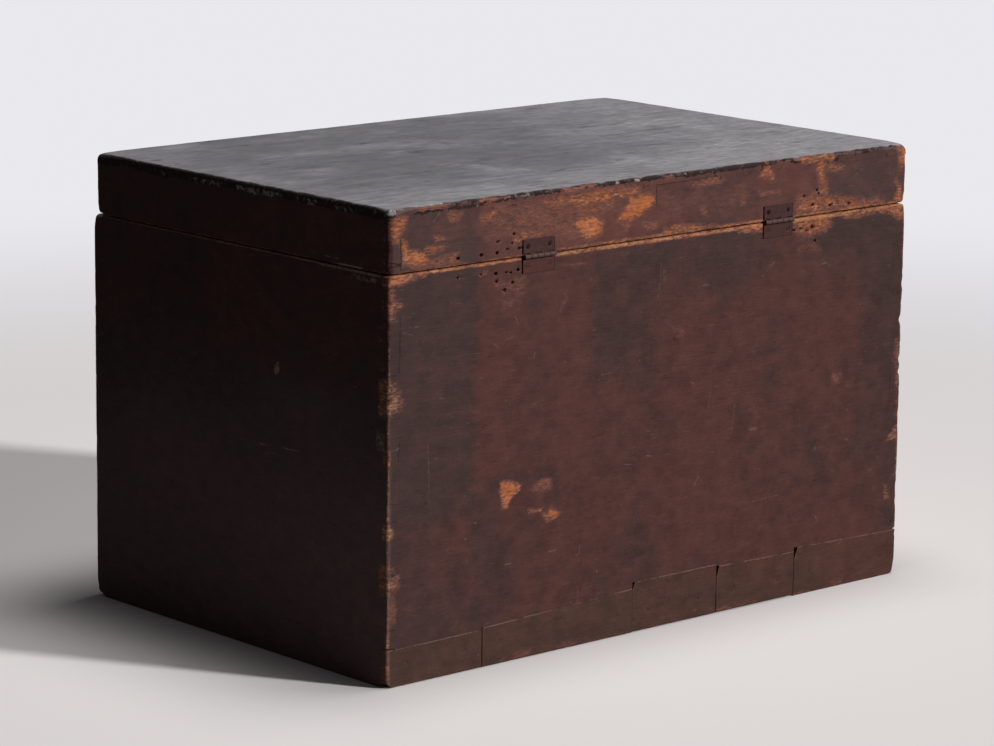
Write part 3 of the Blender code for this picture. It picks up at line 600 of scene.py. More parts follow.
def joined_wall(length, low, high, pins, spacing, tails, corners, seed, edges, extra=(), extra_rows=()):
    """Outer and inner sheet of a dovetailed wall board between two heights, and which cells are present.

    The outer sheet falls away along its worn edges and waves a little, the inner one at its edges. At both
    ends the cells of the sockets are missing. Between tails and pins the rows slope: with the distance from
    the end on a tail board, and with the depth on a pin board.
    """
    if tails:
        bounds = [(start - FLARE - SLIT, end + FLARE + SLIT) for start, end in pins]
        ways = (1.0, -1.0)
    else:
        bounds = [(start + SLIT, end - SLIT) for start, end in pins]
        ways = (-1.0, 1.0)
    bottom, top = edges["whole"]
    knots = [height for bound in bounds for height in bound]
    heights = [bottom, *knots, top]
    slants = [0.0, *ways * len(bounds), 0.0]
    must_columns = np.concatenate((edge_lines(0, length), (BASELINE, length - BASELINE), extra))
    must_rows = np.concatenate((edge_lines(low, high), knots, extra_rows))
    columns = lines(must_columns, spacing, 0, length)
    rows = lines(must_rows, spacing, low, high)
    across, upward = np.meshgrid(columns, rows)
    end_gap = np.minimum(across, length - across)
    in_joint = end_gap < BASELINE - HAIR
    slant = np.interp(upward, heights, slants) * FLARE
    start_round, finish_round = (corner_radius(name, rows, low > AXIS[2])[:, None] for name in corners)
    lower_round = edges["lower"] * (0.5 + along(columns, 60, seed + 80))[None]
    upper_round = edges["upper"] * (0.5 + along(columns, 45, seed + 81))[None]
    out = -fall(across, start_round) - fall(length - across, finish_round)
    out -= fall(upward - low, lower_round) + fall(high - upward, upper_round)
    out -= 0.55 * over(across, upward, 170, 60, seed + 82) + 0.12 * over(across, upward, 40, 4, seed + 83, 2)
    low_lift, high_drop = edges["corners"]
    rise = fall(end_gap, low_lift) * (1 - ramp(upward - low, 0, 1.6 * low_lift + 0.1))
    rise = rise - fall(end_gap, high_drop) * ramp(upward - high, -1.6 * high_drop - 0.1, 0)
    flush = np.clip(across, END_INSET, length - END_INSET)
    outer = np.stack((flush, out, upward + rise), axis=-1)
    inside = -WALL + fall(upward - low, INNER_ROUND) + fall(high - upward, INNER_ROUND)
    inside = inside + 0.25 * over(across, upward, 90, 12, seed + 84)
    inner = np.stack((flush, inside, upward), axis=-1)
    if tails:
        lean = np.where(in_joint, slant * (1 - end_gap / BASELINE), 0)
        outer[..., 2] += lean
        inner[..., 2] += lean
    else:
        inner[..., 2] += np.where(in_joint, slant, 0)
    middles = (rows[1:] + rows[:-1]) / 2
    in_pin = np.any([(middles > start) & (middles < end) for start, end in bounds], axis=0)
    middle_gap = np.minimum(columns[1:] + columns[:-1], 2 * length - columns[1:] - columns[:-1]) / 2
    missing_rows = in_pin if tails else ~in_pin
    present = ~(missing_rows[:, None] & (middle_gap < BASELINE)[None])
    return outer, inner, present


def bands(first, second, listed):
    """The strongest of the listed soft rectangles at each point."""
    total = np.zeros(first.shape)
    for start, end, low, high, strength, soft in listed:
        total = np.maximum(total, strength * soft_box(first, second, start, end, low, high, soft))
    return total


def bare_outlines(first, second):
    """How bare the back is inside its listed outlines: rising over the soft edge, half way at the outline."""
    total = np.zeros(first.shape)
    for strength, soft, *outline in BARE_ON_BACK:
        corners = np.array(outline)
        low, high = corners.min(axis=0) - 2.2 * soft, corners.max(axis=0) + 2.2 * soft
        near = (first > low[0]) & (first < high[0]) & (second > low[1]) & (second < high[1])
        if near.any():
            inside = outline_field(first[near], second[near], outline)
            total[near] = np.maximum(total[near], strength * ramp(inside, -2.0 * soft, 2.0 * soft))
    return total


def paint_fields(points):
    """Fields of the painted wood at points in the frame's millimetres, by name.

    bare rises along all outer edges, along the seam and in the listed outlines of the back. red is above 0
    in redder bands and below in duller ones, and off the back it is greyer towards the foot: dust on the
    other sides, and on the right end a painted sheen of the floor. pit rises in holes, inside starts half way
    through the boards, faded lightens the lid's back and holds painted bounce light:
    lighter towards the foot of the right end and darker at its top, less on the other sides. bleached pales
    the bare wood, and chalky marks the pale lines of the end.
    """
    x, y, z = points.T
    lid = z > AXIS[2]
    side_x = np.where(lid, LID_X, END_X)
    front_y = np.where(lid, LID_FRONT_Y, FRONT_Y)
    depth_x, depth_back = side_x - np.abs(x), BACK_Y - y
    depth, corner, _ = np.sort(np.stack((depth_x, depth_back, y - front_y)), axis=0)
    across = END_X - x
    on_back = 1 - ramp(depth_back, 4, 7)
    other = 1 - on_back
    on_end = (1 - ramp(depth_x, 4, 7)) * (x > 0)
    wander = 5 * (over(x, z, 26, 9, 31) - 0.5)
    wander_up = 5 * (over(x, z, 26, 14, 35) - 0.5)
    seam = bands(across, z, [(*row, SEAM_SOFT) for row in BARE_ALONG_SEAM])
    bare = (
        bare_outlines(across + wander, z + wander_up) * on_back,
        seam * (0.62 + 0.62 * along(across, 38, 51)) * on_back,
        ramp(over(x + y, z, 90, 30, 43), 0.62, 0.86) * other * np.where(lid, 0.16, 0.12),
        (1 - ramp(corner, 0, 7)) * (0.10 + 0.62 * over(z, x + y, 30, 400, 57)),
        (1 - ramp(np.abs(z - AXIS[2]), 0.8, 3.5)) * (0.20 + 0.42 * over(x, y, 60, 60, 61)),
        (1 - ramp(z, 0, 7)) * (0.02 + 0.34 * over(x, y, 40, 40, 67)),
        bands(depth_back + wander, z + wander_up, END_CORNER_CHIPS) * on_end,
    )
    red = bands(across, z, [row for row in PAINT_BANDS if row[4] > 0])
    red = red - bands(across, z, [(*row[:4], -row[4], row[5]) for row in PAINT_BANDS if row[4] < 0])
    # Greyer towards the foot, a little redder at the top: dust, and on the right end a painted floor sheen
    dust_and_painted_sheen = 0.12 * ramp(z, 420, 490) - 1.0 * (1 - ramp(z, 280, 450))
    chalky = bands(depth_back + wander, z + 0.3 * wander_up, END_PALE_LINES)
    # Painted bounce light: the right end lighter towards its foot and darker at its top, less on other sides
    clouded = over(y, z, 150, 110, 65) - 0.5
    painted_bounce_light = 3.4 * (1 - ramp(z + 160 * clouded, 170, 400)) - 0.9 * ramp(z, 340, 470)
    painted_bounce_light = painted_bounce_light + 0.6 * (1 - ramp(depth_back, 120, 420))
    return {
        "bare": np.maximum.reduce(bare),
        # Bands on the back; off it dust, and the painted floor sheen on the right end
        "red": red * on_back + dust_and_painted_sheen * np.maximum(on_end, 0.5 * other),
        "pit": soft_pits(across, z, NAIL_HOLES, 1.0) * (1 - ramp(depth_back, 8, 12)),
        "inside": ramp(depth, 8, 12),
        # The lid's back a little lighter in tone, and the painted bounce light
        "faded": 1.15 * on_back * lid + painted_bounce_light * np.maximum(on_end, 0.3 * other),
        "bleached": np.maximum((1 - ramp(corner, 10, 32)) * (1 - ramp(z, 430, 500)), 0.35 * seam),
        "chalky": chalky * (0.55 + 0.8 * over(y, z, 30, 6, 63)) * on_end,
    }


def top_fields(points):
    """The paint's fields on the lid's top, and those of its black paint.

    black covers the top and its edge, along the back in the listed stretches only. rubbed is partly rubbed
    paint and partly painted reflection of a bright room: it rises towards the back, the left and the edges.
    edge rises in the pale chips, which near the right end of the back are partly painted glints, and rim
    along the outermost few millimetres.
    """
    x, y, z = points.T
    found = paint_fields(points)
    depth = np.minimum(LID_X - np.abs(x), np.minimum(BACK_Y - y, y - LID_FRONT_Y))
    across, inward = END_X - x, BACK_Y - y
    on_back, on_end = 1 - ramp(inward, 4, 7), 1 - ramp(LID_X - x, 4, 7)
    ragged = 7.0 * (over(x + y, z, 26, 8, 77, 5) - 0.5)
    band = np.where(on_back > 0.5, TOP_Z - 2.2 + 0.4 * ragged, TOP_Z - 13.2 + ragged)
    wander = 26 * (over(x + y, z, 24, 20, 91) - 0.5)
    wander_up = 4.4 * (over(x + y, z, 8, 300, 93, 3) - 0.5)
    dark = bands(across + wander, z + wander_up, BACK_EDGE_DARK) * on_back
    found["black"] = np.maximum.reduce((ramp(z - band, -0.9, 0.9), dark, ramp(depth, 8, 12)))
    # Rubbed paint and painted reflection: grey towards the left end, the back edge and the right corner
    blotch = over(x, y, 150, 110, 79) - 0.5
    rubbed = 0.78 * ramp(across + 260 * blotch, 430, 800)
    rubbed = rubbed + 0.80 * (1 - ramp(inward + 120 * blotch, 60, 210))
    rubbed = np.maximum(rubbed, 0.42 * (1 - ramp(across + 120 * blotch, 30, 140)))
    rubbed = rubbed + 0.6 * ramp(over(x, y, 70, 60, 83), 0.52, 0.85)
    found["rubbed"] = np.clip(rubbed - 0.25 * ramp(over(x, y, 60, 60, 85), 0.5, 0.8), 0, 1)
    # Chips along the edges, with the painted glints near the back's right end
    chips = on_back * bands(across + wander, z, BACK_EDGE_CHIPS_AND_GLINTS)
    chips = chips + on_end * bands(inward + wander, z, END_EDGE_CHIPS)
    chips = chips * (0.55 + 0.9 * over(x + y, z, 16, 5, 73))
    worn_edge = (1 - ramp(depth, 2, 7)) * (0.05 + 0.5 * over(x + y, z, 34, 300, 71))
    found["edge"] = np.maximum(worn_edge, chips)
    found["rim"] = 1 - ramp(depth + 6 * (over(x, y, 12, 12, 95) - 0.5), 1.5, 4.5)
    rim_bare = bands(across + wander, z + wander_up, BACK_EDGE_BARE) * on_back
    found["bare"] = np.maximum(found["bare"] * (1 - ramp(depth, 5, 9)), rim_bare)
    found["inside"] = ramp(TOP_Z - z, 11, 13.5) * ramp(depth, 4, 9)
    found["pit"] = np.zeros(len(x))
    return found


def mesh_object(name, points, faces, fields=None):
    """A piece from its points in the frame's millimetres, its four-sided faces and its attributes."""
    mesh = bpy.data.meshes.new(name)
    mesh.vertices.add(len(points))
    mesh.vertices.foreach_set("co", np.ascontiguousarray(points / MM, np.float32).ravel())
    mesh.loops.add(faces.size)
    mesh.loops.foreach_set("vertex_index", np.ascontiguousarray(faces, np.int32).ravel())
    mesh.polygons.add(len(faces))
    mesh.polygons.foreach_set("loop_start", np.arange(0, faces.size, 4, dtype=np.int32))
    mesh.update(calc_edges=True)
    for field, values in (fields or {}).items():
        attribute = mesh.attributes.new(field, "FLOAT", "POINT")
        attribute.data.foreach_set("value", np.ascontiguousarray(values, np.float32))
    mesh.validate()
    mesh.shade_smooth()
    mesh.set_sharp_from_angle(angle=SHARP_ANGLE)
    obj = bpy.data.objects.new(name, mesh)
    bpy.context.scene.collection.objects.link(obj)
    return obj


class Shade:
    """The nodes of one material or of the world, and short ways to add to them."""

    def __init__(self, owner):
        owner.use_nodes = True
        self.owner = owner
        self.nodes = owner.node_tree.nodes
        self.links = owner.node_tree.links
        self.shader = self.nodes.get("Principled BSDF") or self.nodes["Background"]
        self.places = self.add("ShaderNodeTexCoord").outputs
        self.object = self.places["Object"]

    def add(self, kind, inputs=(), **settings):
        """A node with its settings, each input given as a socket to link or a plain value."""
        node = self.nodes.new(kind)
        for name, value in settings.items():
            setattr(node, name, value)
        for key, value in dict(inputs).items():
            self.put(node.inputs[key], value)
        return node

    def put(self, socket, value):
        """Links a socket or sets its plain value; a colour of three values becomes an opaque one."""
        if isinstance(value, bpy.types.NodeSocket):
            self.links.new(value, socket)
        else:
            socket.default_value = (*value, 1.0) if socket.type == "RGBA" else value

    def field(self, name):
        """One of the piece's own attributes."""
        return self.add("ShaderNodeAttribute", attribute_name=name).outputs["Fac"]

    def noise(self, stretch, scale, detail=4.0, roughness=0.55, warp=0.0):
        """Noise from 0 to 1 over the object's coordinates, each axis first scaled by its stretch."""
        vector = self.object
        if stretch != EVEN:
            vector = self.add("ShaderNodeMapping", {"Vector": vector, "Scale": stretch}).outputs["Vector"]
        values = {"Vector": vector, "Scale": scale, "Detail": detail, "Roughness": roughness}
        return self.add("ShaderNodeTexNoise", {**values, "Distortion": warp}).outputs["Fac"]

    def maths(self, operation, first, second=0.0, third=0.0):
        """One operation on up to three values."""
        return self.add("ShaderNodeMath", {0: first, 1: second, 2: third}, operation=operation).outputs[0]

    def times(self, first, second):
        """Product of two values."""
        return self.maths("MULTIPLY", first, second)

    def plus(self, value, gain, base):
        """A value times a gain, added to a base."""
        return self.maths("MULTIPLY_ADD", value, gain, base)

    def centred(self, value):
        """A noise about 0 instead of about a half."""
        return self.maths("SUBTRACT", value, 0.5)

    def vector(self, operation, first, second):
        """One operation on two vectors that gives a value."""
        return self.add("ShaderNodeVectorMath", {0: first, 1: second}, operation=operation).outputs["Value"]

    def step(self, value, low, high):
        """0 at low, 1 at high, smooth between and level beyond; low may be the greater."""
        values = {"Value": value, "From Min": low, "From Max": high}
        return self.add("ShaderNodeMapRange", values, interpolation_type="SMOOTHSTEP").outputs["Result"]

    def spread(self, value, low, high):
        """A value from 0 to 1 spread between two others."""
        values = {"Value": value, "To Min": low, "To Max": high}
        return self.add("ShaderNodeMapRange", values).outputs["Result"]

    def mix(self, share, first, second, blend="MIX"):
        """One colour turning into another."""
        values = {0: share, 6: first, 7: second}
        return self.add("ShaderNodeMix", values, data_type="RGBA", blend_type=blend).outputs[2]

    def scaled(self, colour, value):
        """A colour times a value."""
        return self.mix(1.0, colour, value, "MULTIPLY")

    def varied(self, colour, value, low, high):
        """A colour darkened and lightened by a value from 0 to 1."""
        return self.scaled(colour, self.spread(value, low, high))

    def turn(self, colour, other, value, low, high, most=1.0):
        """A colour turned into another, at most by a share, where a value passes from low to high."""
        share = self.step(value, low, high)
        return self.mix(share if most == 1.0 else self.times(share, most), colour, other)

    def bump(self, height, distance, strength):
        """A normal that follows a height."""
        values = {"Height": height, "Distance": distance, "Strength": strength}
        return self.add("ShaderNodeBump", values).outputs["Normal"]

    def finish(self, colour, roughness, specular, normal=None):
        """The material with its colour, roughness, specular level and normal set."""
        self.put(self.shader.inputs["Base Color"], colour)
        self.put(self.shader.inputs["Roughness"], roughness)
        self.shader.inputs["Specular IOR Level"].default_value = specular
        if normal:
            self.put(self.shader.inputs["Normal"], normal)
        return self.owner


def bare_wood(shade, colours, run):
    """Old bare softwood: colour that wanders between orange and tan, darker grain along the board, dirt.

    Returns a duller and a brighter colour, and the grain for the bump.
    """
    grain = shade.noise(run, 2.6, 6.0, 0.65)
    hue = shade.noise((1, 1, 2.0), 45.0, 5.0, 0.66)
    dirt = shade.noise((1, 1, 2.6), 150.0, 6.0, 0.75)
    streak = shade.times(shade.spread(grain, 0.45, 1.55), shade.spread(dirt, 0.25, 1.75))
    dull = shade.turn(colours.wood_dark, colours.wood_pink, hue, 0.35, 0.65)
    bright = shade.turn(colours.wood_orange, colours.wood_tan, hue, 0.38, 0.66)
    bleached = shade.field("bleached")
    dull = shade.mix(shade.times(bleached, 0.35), dull, colours.wood_pale)
    bright = shade.mix(bleached, bright, colours.wood_pale)
    return shade.scaled(dull, streak), shade.scaled(bright, streak), grain


def line_mask(shade, listed):
    """Thin lines on the back, each the nearness to a line between two points, wavering a little."""
    parts = shade.add("ShaderNodeSeparateXYZ", {0: shade.object})
    wobble = shade.times(shade.centred(shade.noise(EVEN, 60.0, 2.0)), 0.004)
    across = shade.maths("ADD", shade.maths("SUBTRACT", END_X / MM, parts.outputs[0]), wobble)
    here = shade.add("ShaderNodeCombineXYZ", {0: across, 1: parts.outputs[2]}).outputs[0]
    total = 0.0
    for x0, z0, x1, z1, half in listed:
        start, reach = Vector((x0, z0, 0)) / MM, Vector((x1 - x0, z1 - z0, 0)) / MM
        offset = shade.add("ShaderNodeVectorMath", {0: here, 1: start}, operation="SUBTRACT").outputs[0]
        share = shade.vector("DOT_PRODUCT", offset, reach / reach.length_squared)
        clamped = shade.add("ShaderNodeClamp", {0: share}).outputs[0]
        foot = shade.add("ShaderNodeVectorMath", {0: reach, "Scale": clamped}, operation="SCALE").outputs[0]
        gap = shade.vector("DISTANCE", offset, foot)
        total = shade.maths("MAXIMUM", shade.step(gap, half / 600, half / 2000), total)
    on_back = shade.step(parts.outputs[1], BACK_Y / MM - 0.004, BACK_Y / MM - 0.002)
    return shade.times(total, on_back)


def worn_paint(shade, colours, run):
    """Old red-brown paint over wood. Returns its colour, how bare it is, its roughness and its height.

    The paint is mottled, duller or redder in bands, with fine grain, pale nicks and scratches. With rising
    bareness it turns to rubbed paint, then dull and then bright wood; noise along the grain breaks the edges.
    run scales the axes for the grain: low along it and high across it. The inside is old pine.
    """
    bare, red, pit, inside = (shade.field(name) for name in ("bare", "red", "pit", "inside"))
    dull, bright, wood_grain = bare_wood(shade, colours, run)
    grain = shade.noise(run, 3.0, 5.0, 0.6)
    mottle = shade.noise((1, 1, 1.3), 42.0, 5.0, 0.6)
    fine = shade.noise(EVEN, 210.0, 3.0, 0.6)
    cloud = shade.noise((1, 1, 0.55), 6.5, 4.0, 0.6)
    speck = shade.noise((1, 1, 1.8), 125.0, 2.0, 0.5)
    nick = shade.noise((1, 1, 5.0), 62.0, 3.0, 0.55)
    crowd = shade.noise(EVEN, 11.0, 3.0, 0.5)

    redness = shade.plus(red, 0.75, shade.step(cloud, 0.25, 0.75))
    redness = shade.plus(shade.centred(mottle), 1.3, redness)
    paint = shade.turn(colours.paint_dull, colours.paint_red, redness, -0.1, 1.1)
    paint = shade.turn(paint, colours.paint_grey, shade.plus(mottle, 0.5, red), 0.0, -0.45)
    paint = shade.mix(shade.field("brown"), paint, colours.paint_brown)
    # Lighter paint on the lid's back, and painted bounce light towards the foot of the right end
    paint = shade.scaled(paint, shade.plus(shade.field("faded"), 0.3, 1.0))
    paint = shade.varied(paint, mottle, 0.62, 1.38)
    paint = shade.varied(paint, fine, 0.84, 1.16)
    paint = shade.varied(paint, grain, 0.72, 1.28)
    pale = shade.times(shade.step(speck, 0.70, 0.78), shade.step(crowd, 0.40, 0.60))
    pale = shade.maths("MAXIMUM", pale, shade.times(shade.step(nick, 0.67, 0.76), 0.55))
    scratched = shade.times(line_mask(shade, SCRATCHES), shade.step(speck, 0.36, 0.62))
    pale = shade.times(shade.maths("MAXIMUM", pale, scratched), 0.55)
    # The strips' pale upper edge: chips, and a painted highlight of the lit ledge
    edge = shade.step(shade.plus(shade.centred(fine), 1.4, shade.field("pale")), 0.45, 0.8)
    pale = shade.maths("MAXIMUM", pale, shade.times(edge, 0.6))
    paint = shade.mix(pale, paint, colours.paint_nick)
    dark = shade.times(shade.step(nick, 0.36, 0.27), 0.5)
    paint = shade.mix(dark, paint, colours.paint_dark)

    ragged = shade.centred(shade.noise((1, 1, 3.0), 115.0, 7.0, 0.80))
    broken = shade.centred(shade.noise((1, 1, 2.2), 24.0, 5.0, 0.66))
    amount = shade.plus(bare, 6.5, 0.2)
    amount = shade.maths("MINIMUM", amount, 4.2)
    level = shade.plus(ragged, amount, shade.plus(broken, 1.0, bare))
    there = shade.step(bare, 0.02, 0.20)
    rubbed = shade.times(shade.step(level, 0.08, 0.40), there)
    worn = shade.times(shade.step(level, 0.32, 0.68), there)
    shown = shade.times(shade.step(level, 0.52, 1.08), there)
    thin = shade.varied(colours.paint_rubbed, grain, 0.70, 1.30)
    colour = shade.mix(shade.times(rubbed, 0.8), paint, thin)
    colour = shade.mix(worn, colour, dull)
    colour = shade.mix(shown, colour, bright)
    chalky = shade.plus(shade.centred(fine), 1.2, shade.field("chalky"))
    colour = shade.turn(colour, colours.paint_chalky, chalky, 0.30, 0.80, 0.8)
    stain = shade.noise(EVEN, 4.5, 5.0, 0.6)
    rings = shade.noise([axis / 5 for axis in run], 2.0, 4.0, 0.55, 0.6)
    pine = shade.turn(colours.pine, colours.pine_dark, stain, 0.45, 0.75)
    pine = shade.turn(pine, colours.pine_dark, rings, 0.46, 0.66)
    pine = shade.varied(pine, wood_grain, 0.55, 1.45)
    colour = shade.turn(colour, pine, shade.plus(broken, 0.5, inside), 0.4, 0.6)
    cracked = shade.times(line_mask(shade, CRACKS), shade.step(speck, 0.30, 0.50))
    deep = shade.maths("MAXIMUM", shade.step(pit, 0.35, 0.75), shade.times(cracked, 0.85))
    colour = shade.mix(deep, colour, HOLE_DARK)

    roughness = shade.plus(worn, 0.14, shade.spread(mottle, 0.42, 0.64))
    height = shade.plus(grain, 0.5, shade.times(fine, 0.35))
    height = shade.plus(worn, -0.6, shade.plus(wood_grain, 0.25, height))
    return colour, worn, roughness, height


def wall_paint(shade, colours):
    """Finish of the carcase, the strips and the lid's rails."""
    colour, _, roughness, height = worn_paint(shade, colours, WALL_GRAIN)
    return shade.finish(colour, roughness, 0.14, shade.bump(height, 0.0007, 0.5))


def top_paint(shade, colours):
    """Worn satin black paint on the lid, dusty and rubbed in blotches, over an edge with the walls' paint.

    Its grey is partly a painted reflection, and its pale chips near the back's right end partly painted
    glints.
    """
    edge_colour, worn, edge_roughness, edge_height = worn_paint(shade, colours, TOP_GRAIN)
    black, rubbed, edge, inside = (shade.field(name) for name in ("black", "rubbed", "edge", "inside"))
    smear = shade.noise((1, 1.5, 1), 17.0, 5.0, 0.62, 0.4)
    drawn = shade.noise((1, 6, 6), 13.0, 8.0, 0.76)
    streak = shade.noise((5, 60, 60), 3.0, 4.0, 0.6)
    fine = shade.noise(EVEN, 160.0, 4.0, 0.65)
    share = shade.plus(shade.centred(smear), 0.5, rubbed)
    share = shade.plus(shade.centred(drawn), 1.6, share)
    # Black turning grey: rubbed paint, and a painted reflection of a bright room
    paint = shade.turn(colours.top_black, colours.top_grey_and_reflection, share, -0.3, 1.5)
    brushed = shade.noise((1, 2.6, 2.6), 55.0, 5.0, 0.68)
    dust = shade.step(shade.noise((1, 2, 2), 150.0, 2.0, 0.5), 0.66, 0.76)
    scratch = shade.noise((1.5, 60, 60), 9.0, 4.0, 0.7)
    paint = shade.turn(paint, colours.top_black, scratch, 0.46, 0.30, 0.75)
    dash = shade.step(shade.noise((1, 3, 3), 22.0, 4.0, 0.55), 0.39, 0.29)
    dash = shade.times(dash, shade.step(smear, 0.46, 0.62))
    paint = shade.mix(shade.times(dash, 0.5), paint, colours.top_black)
    paint = shade.mix(shade.field("rim"), paint, colours.paint_dark)
    paint = shade.varied(paint, streak, 0.68, 1.32)
    paint = shade.varied(paint, fine, 0.80, 1.20)
    paint = shade.varied(paint, brushed, 0.10, 1.90)
    paint = shade.mix(shade.times(dust, 0.2), paint, colours.top_chip)
    # Pale chips along the edge, with painted glints near the back's right end
    level = shade.plus(shade.centred(shade.noise(EVEN, 150.0, 4.0, 0.6)), 1.8, edge)
    chips_and_highlights = shade.step(level, 0.45, 1.05)
    paint = shade.mix(shade.times(chips_and_highlights, 0.75), paint, colours.top_chip)
    speckle = shade.times(shade.centred(fine), shade.spread(shade.field("rim"), 1.2, 4.0))
    covered = shade.step(shade.maths("ADD", speckle, black), 0.32, 0.72)
    covered = shade.times(covered, shade.step(inside, 0.6, 0.4))
    covered = shade.times(covered, shade.spread(worn, 1.0, 0.25))
    colour = shade.mix(covered, edge_colour, paint)
    sheen = shade.plus(shade.centred(smear), 0.35, shade.spread(rubbed, 0.34, 0.46))
    sheen = shade.plus(shade.field("rim"), 0.36, sheen)
    sheen = shade.plus(dash, 0.24, sheen)
    flat = shade.add("ShaderNodeMix", {0: covered, 2: edge_roughness, 3: sheen}, data_type="FLOAT").outputs[0]
    height = shade.plus(streak, 0.4, shade.plus(fine, 0.5, edge_height))
    height = shade.plus(chips_and_highlights, -0.6, height)
    return shade.finish(colour, flat, 0.14, shade.bump(height, 0.0005, 0.3))


def floor_pine(shade, colours):
    """Bare pine of the chest's floor, grain from front to back, with dust and stains."""
    fine = shade.noise((170, 6, 6), 3.0, 5.0, 0.6)
    bands = shade.noise((40, 2.2, 2.2), 3.0, 4.0, 0.5, 0.8)
    stain = shade.noise(EVEN, 5.0, 5.0, 0.6)
    colour = shade.turn(colours.pine, colours.pine_dark, bands, 0.35, 0.68)
    colour = shade.turn(colour, colours.wood_dark, stain, 0.50, 0.80)
    colour = shade.varied(colour, fine, 0.6, 1.4)
    normal = shade.bump(fine, 0.0006, 0.5)
    return shade.finish(colour, shade.spread(fine, 0.62, 0.82), 0.3, normal)


def painted_iron(shade, colours):
    """Hinge iron under paint, the walls' own below the axis, rusty, with dull bare metal on the knuckles."""
    parts = shade.add("ShaderNodeSeparateXYZ", {0: shade.object})
    proud = shade.step(parts.outputs[1], BACK_Y / MM + 0.0008, BACK_Y / MM + 0.0040)
    grit = shade.noise(EVEN, 600.0, 4.0, 0.65)
    blotch = shade.noise(EVEN, 130.0, 5.0, 0.65)
    paint = shade.turn(colours.paint_dull, colours.iron_paint, blotch, 0.30, 0.70)
    redder = shade.spread(shade.step(parts.outputs[0], -0.1, 0.1), 0.45, 1.0)
    wall = shade.mix(redder, colours.paint_dull, colours.paint_red)
    below = shade.step(parts.outputs[2], AXIS[2] / MM - 0.002, AXIS[2] / MM - 0.005)
    paint = shade.mix(below, paint, wall)
    paint = shade.varied(paint, blotch, 0.65, 1.35)
    rubbed = shade.step(shade.plus(grit, 0.6, shade.times(proud, 0.6)), 0.62, 0.95)
    colour = shade.mix(rubbed, paint, colours.iron)
    rust = shade.times(shade.step(blotch, 0.56, 0.70), shade.step(grit, 0.42, 0.60))
    colour = shade.mix(shade.times(rust, 0.6), colour, colours.rust)
    normal = shade.bump(shade.plus(grit, 0.5, blotch), 0.0004, 0.6)
    return shade.finish(colour, shade.spread(grit, 0.50, 0.78), 0.10, normal)


def fastener_iron(shade, colours):
    """Dark, slightly rusty iron of the nails and screws."""
    grit = shade.noise(EVEN, 900.0, 4.0, 0.65)
    blotch = shade.noise(EVEN, 260.0, 3.0, 0.6)
    colour = shade.turn(colours.iron_dark, colours.rust, blotch, 0.40, 0.70)
    colour = shade.varied(colour, grit, 0.5, 1.5)
    return shade.finish(colour, shade.spread(grit, 0.50, 0.80), 0.03, shade.bump(grit, 0.0002, 0.5))


def floor_paint(shade, pale, background):
    """Plain pale studio floor that turns into an even pale backdrop far from the chest, for the camera alone.

    To all other rays it is darker, and throws little light on the chest, most beside the right end.
    """
    cloud = shade.noise(EVEN, 1.6, 5.0, 0.6)
    tinted = shade.mix(cloud, [value * 0.97 for value in pale], pale)
    to_camera = shade.add("ShaderNodeLightPath").outputs["Is Camera Ray"]
    distance = shade.vector("DISTANCE", shade.object, (0.0, 0.0, 0.0))
    far = shade.times(shade.step(distance, 0.9, 3.4), to_camera)
    shade.put(shade.shader.inputs["Emission Color"], STUDIO_TINT)
    shade.put(shade.shader.inputs["Emission Strength"], shade.times(far, background))
    aside = shade.step(shade.vector("DISTANCE", shade.object, (0.80, 0.0, 0.0)), 0.75, 0.35)
    given = shade.mix(aside, [value * 0.16 for value in pale], [value * 0.40 for value in pale])
    shown = shade.mix(far, shade.mix(to_camera, given, tinted), (0.0, 0.0, 0.0))
    return shade.finish(shown, 0.62, 0.0)


# Finishes: what makes each, and the slot that it fills
FINISHES = {
    "worn_wall_paint": (wall_paint, "red_brown_paint"),
    "worn_lid_paint": (top_paint, "black_paint"),
    "old_pine": (floor_pine, "bare_pine"),
    "painted_iron": (painted_iron, "dark_iron"),
    "old_fastener_iron": (fastener_iron, "dark_iron"),
}


def new_material(name, maker, *values):
    """A material made by its maker."""
    return maker(Shade(bpy.data.materials.new(name)), *values)


def place(obj, node, finish):
    """Puts the piece in its CAD node's stead, on the node's body, with its finish, made at its first use."""
    maker, slot = FINISHES[finish]
    known = bpy.data.materials.get(finish)
    obj.data.materials.append(known or new_material(finish, maker, bpy.context.scene.chest_colours))
    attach(obj, frame["nodes"][node]["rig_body"])
    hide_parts(node)


def place_board(node, face, sheets, finish="worn_wall_paint", fields=paint_fields):
    """Makes a board from its sheets on one side of the chest, with its fields, in its CAD node's stead."""
    points, faces = face.solid(*sheets)
    attributes = fields(points) if fields else None
    place(mesh_object("worn_" + node, points, faces, attributes), node, finish)


def plate(face, across, upward, thick):
    """Flat slab on a side: a grid of the given lines, and the same grid deeper by its thickness."""
    sheet = np.insert(np.stack(np.meshgrid(across, upward), axis=-1), 1, 0.0, axis=-1)
    return face.solid(sheet, sheet - np.array((0, thick, 0)), layers=())


def colour_setting(label, meaning, *values):
    """A colour among the settings."""
    return bpy.props.FloatVectorProperty(name=label, description=meaning, subtype="COLOR", default=values)


def length_setting(label, meaning, value):
    """A length among the settings."""
    return bpy.props.FloatProperty(name=label, description=meaning, unit="LENGTH", default=value)


def light_setting(label, meaning, value):
    """A strength or share of light among the settings."""
    return bpy.props.FloatProperty(name=label, description=meaning, unit="NONE", default=value)


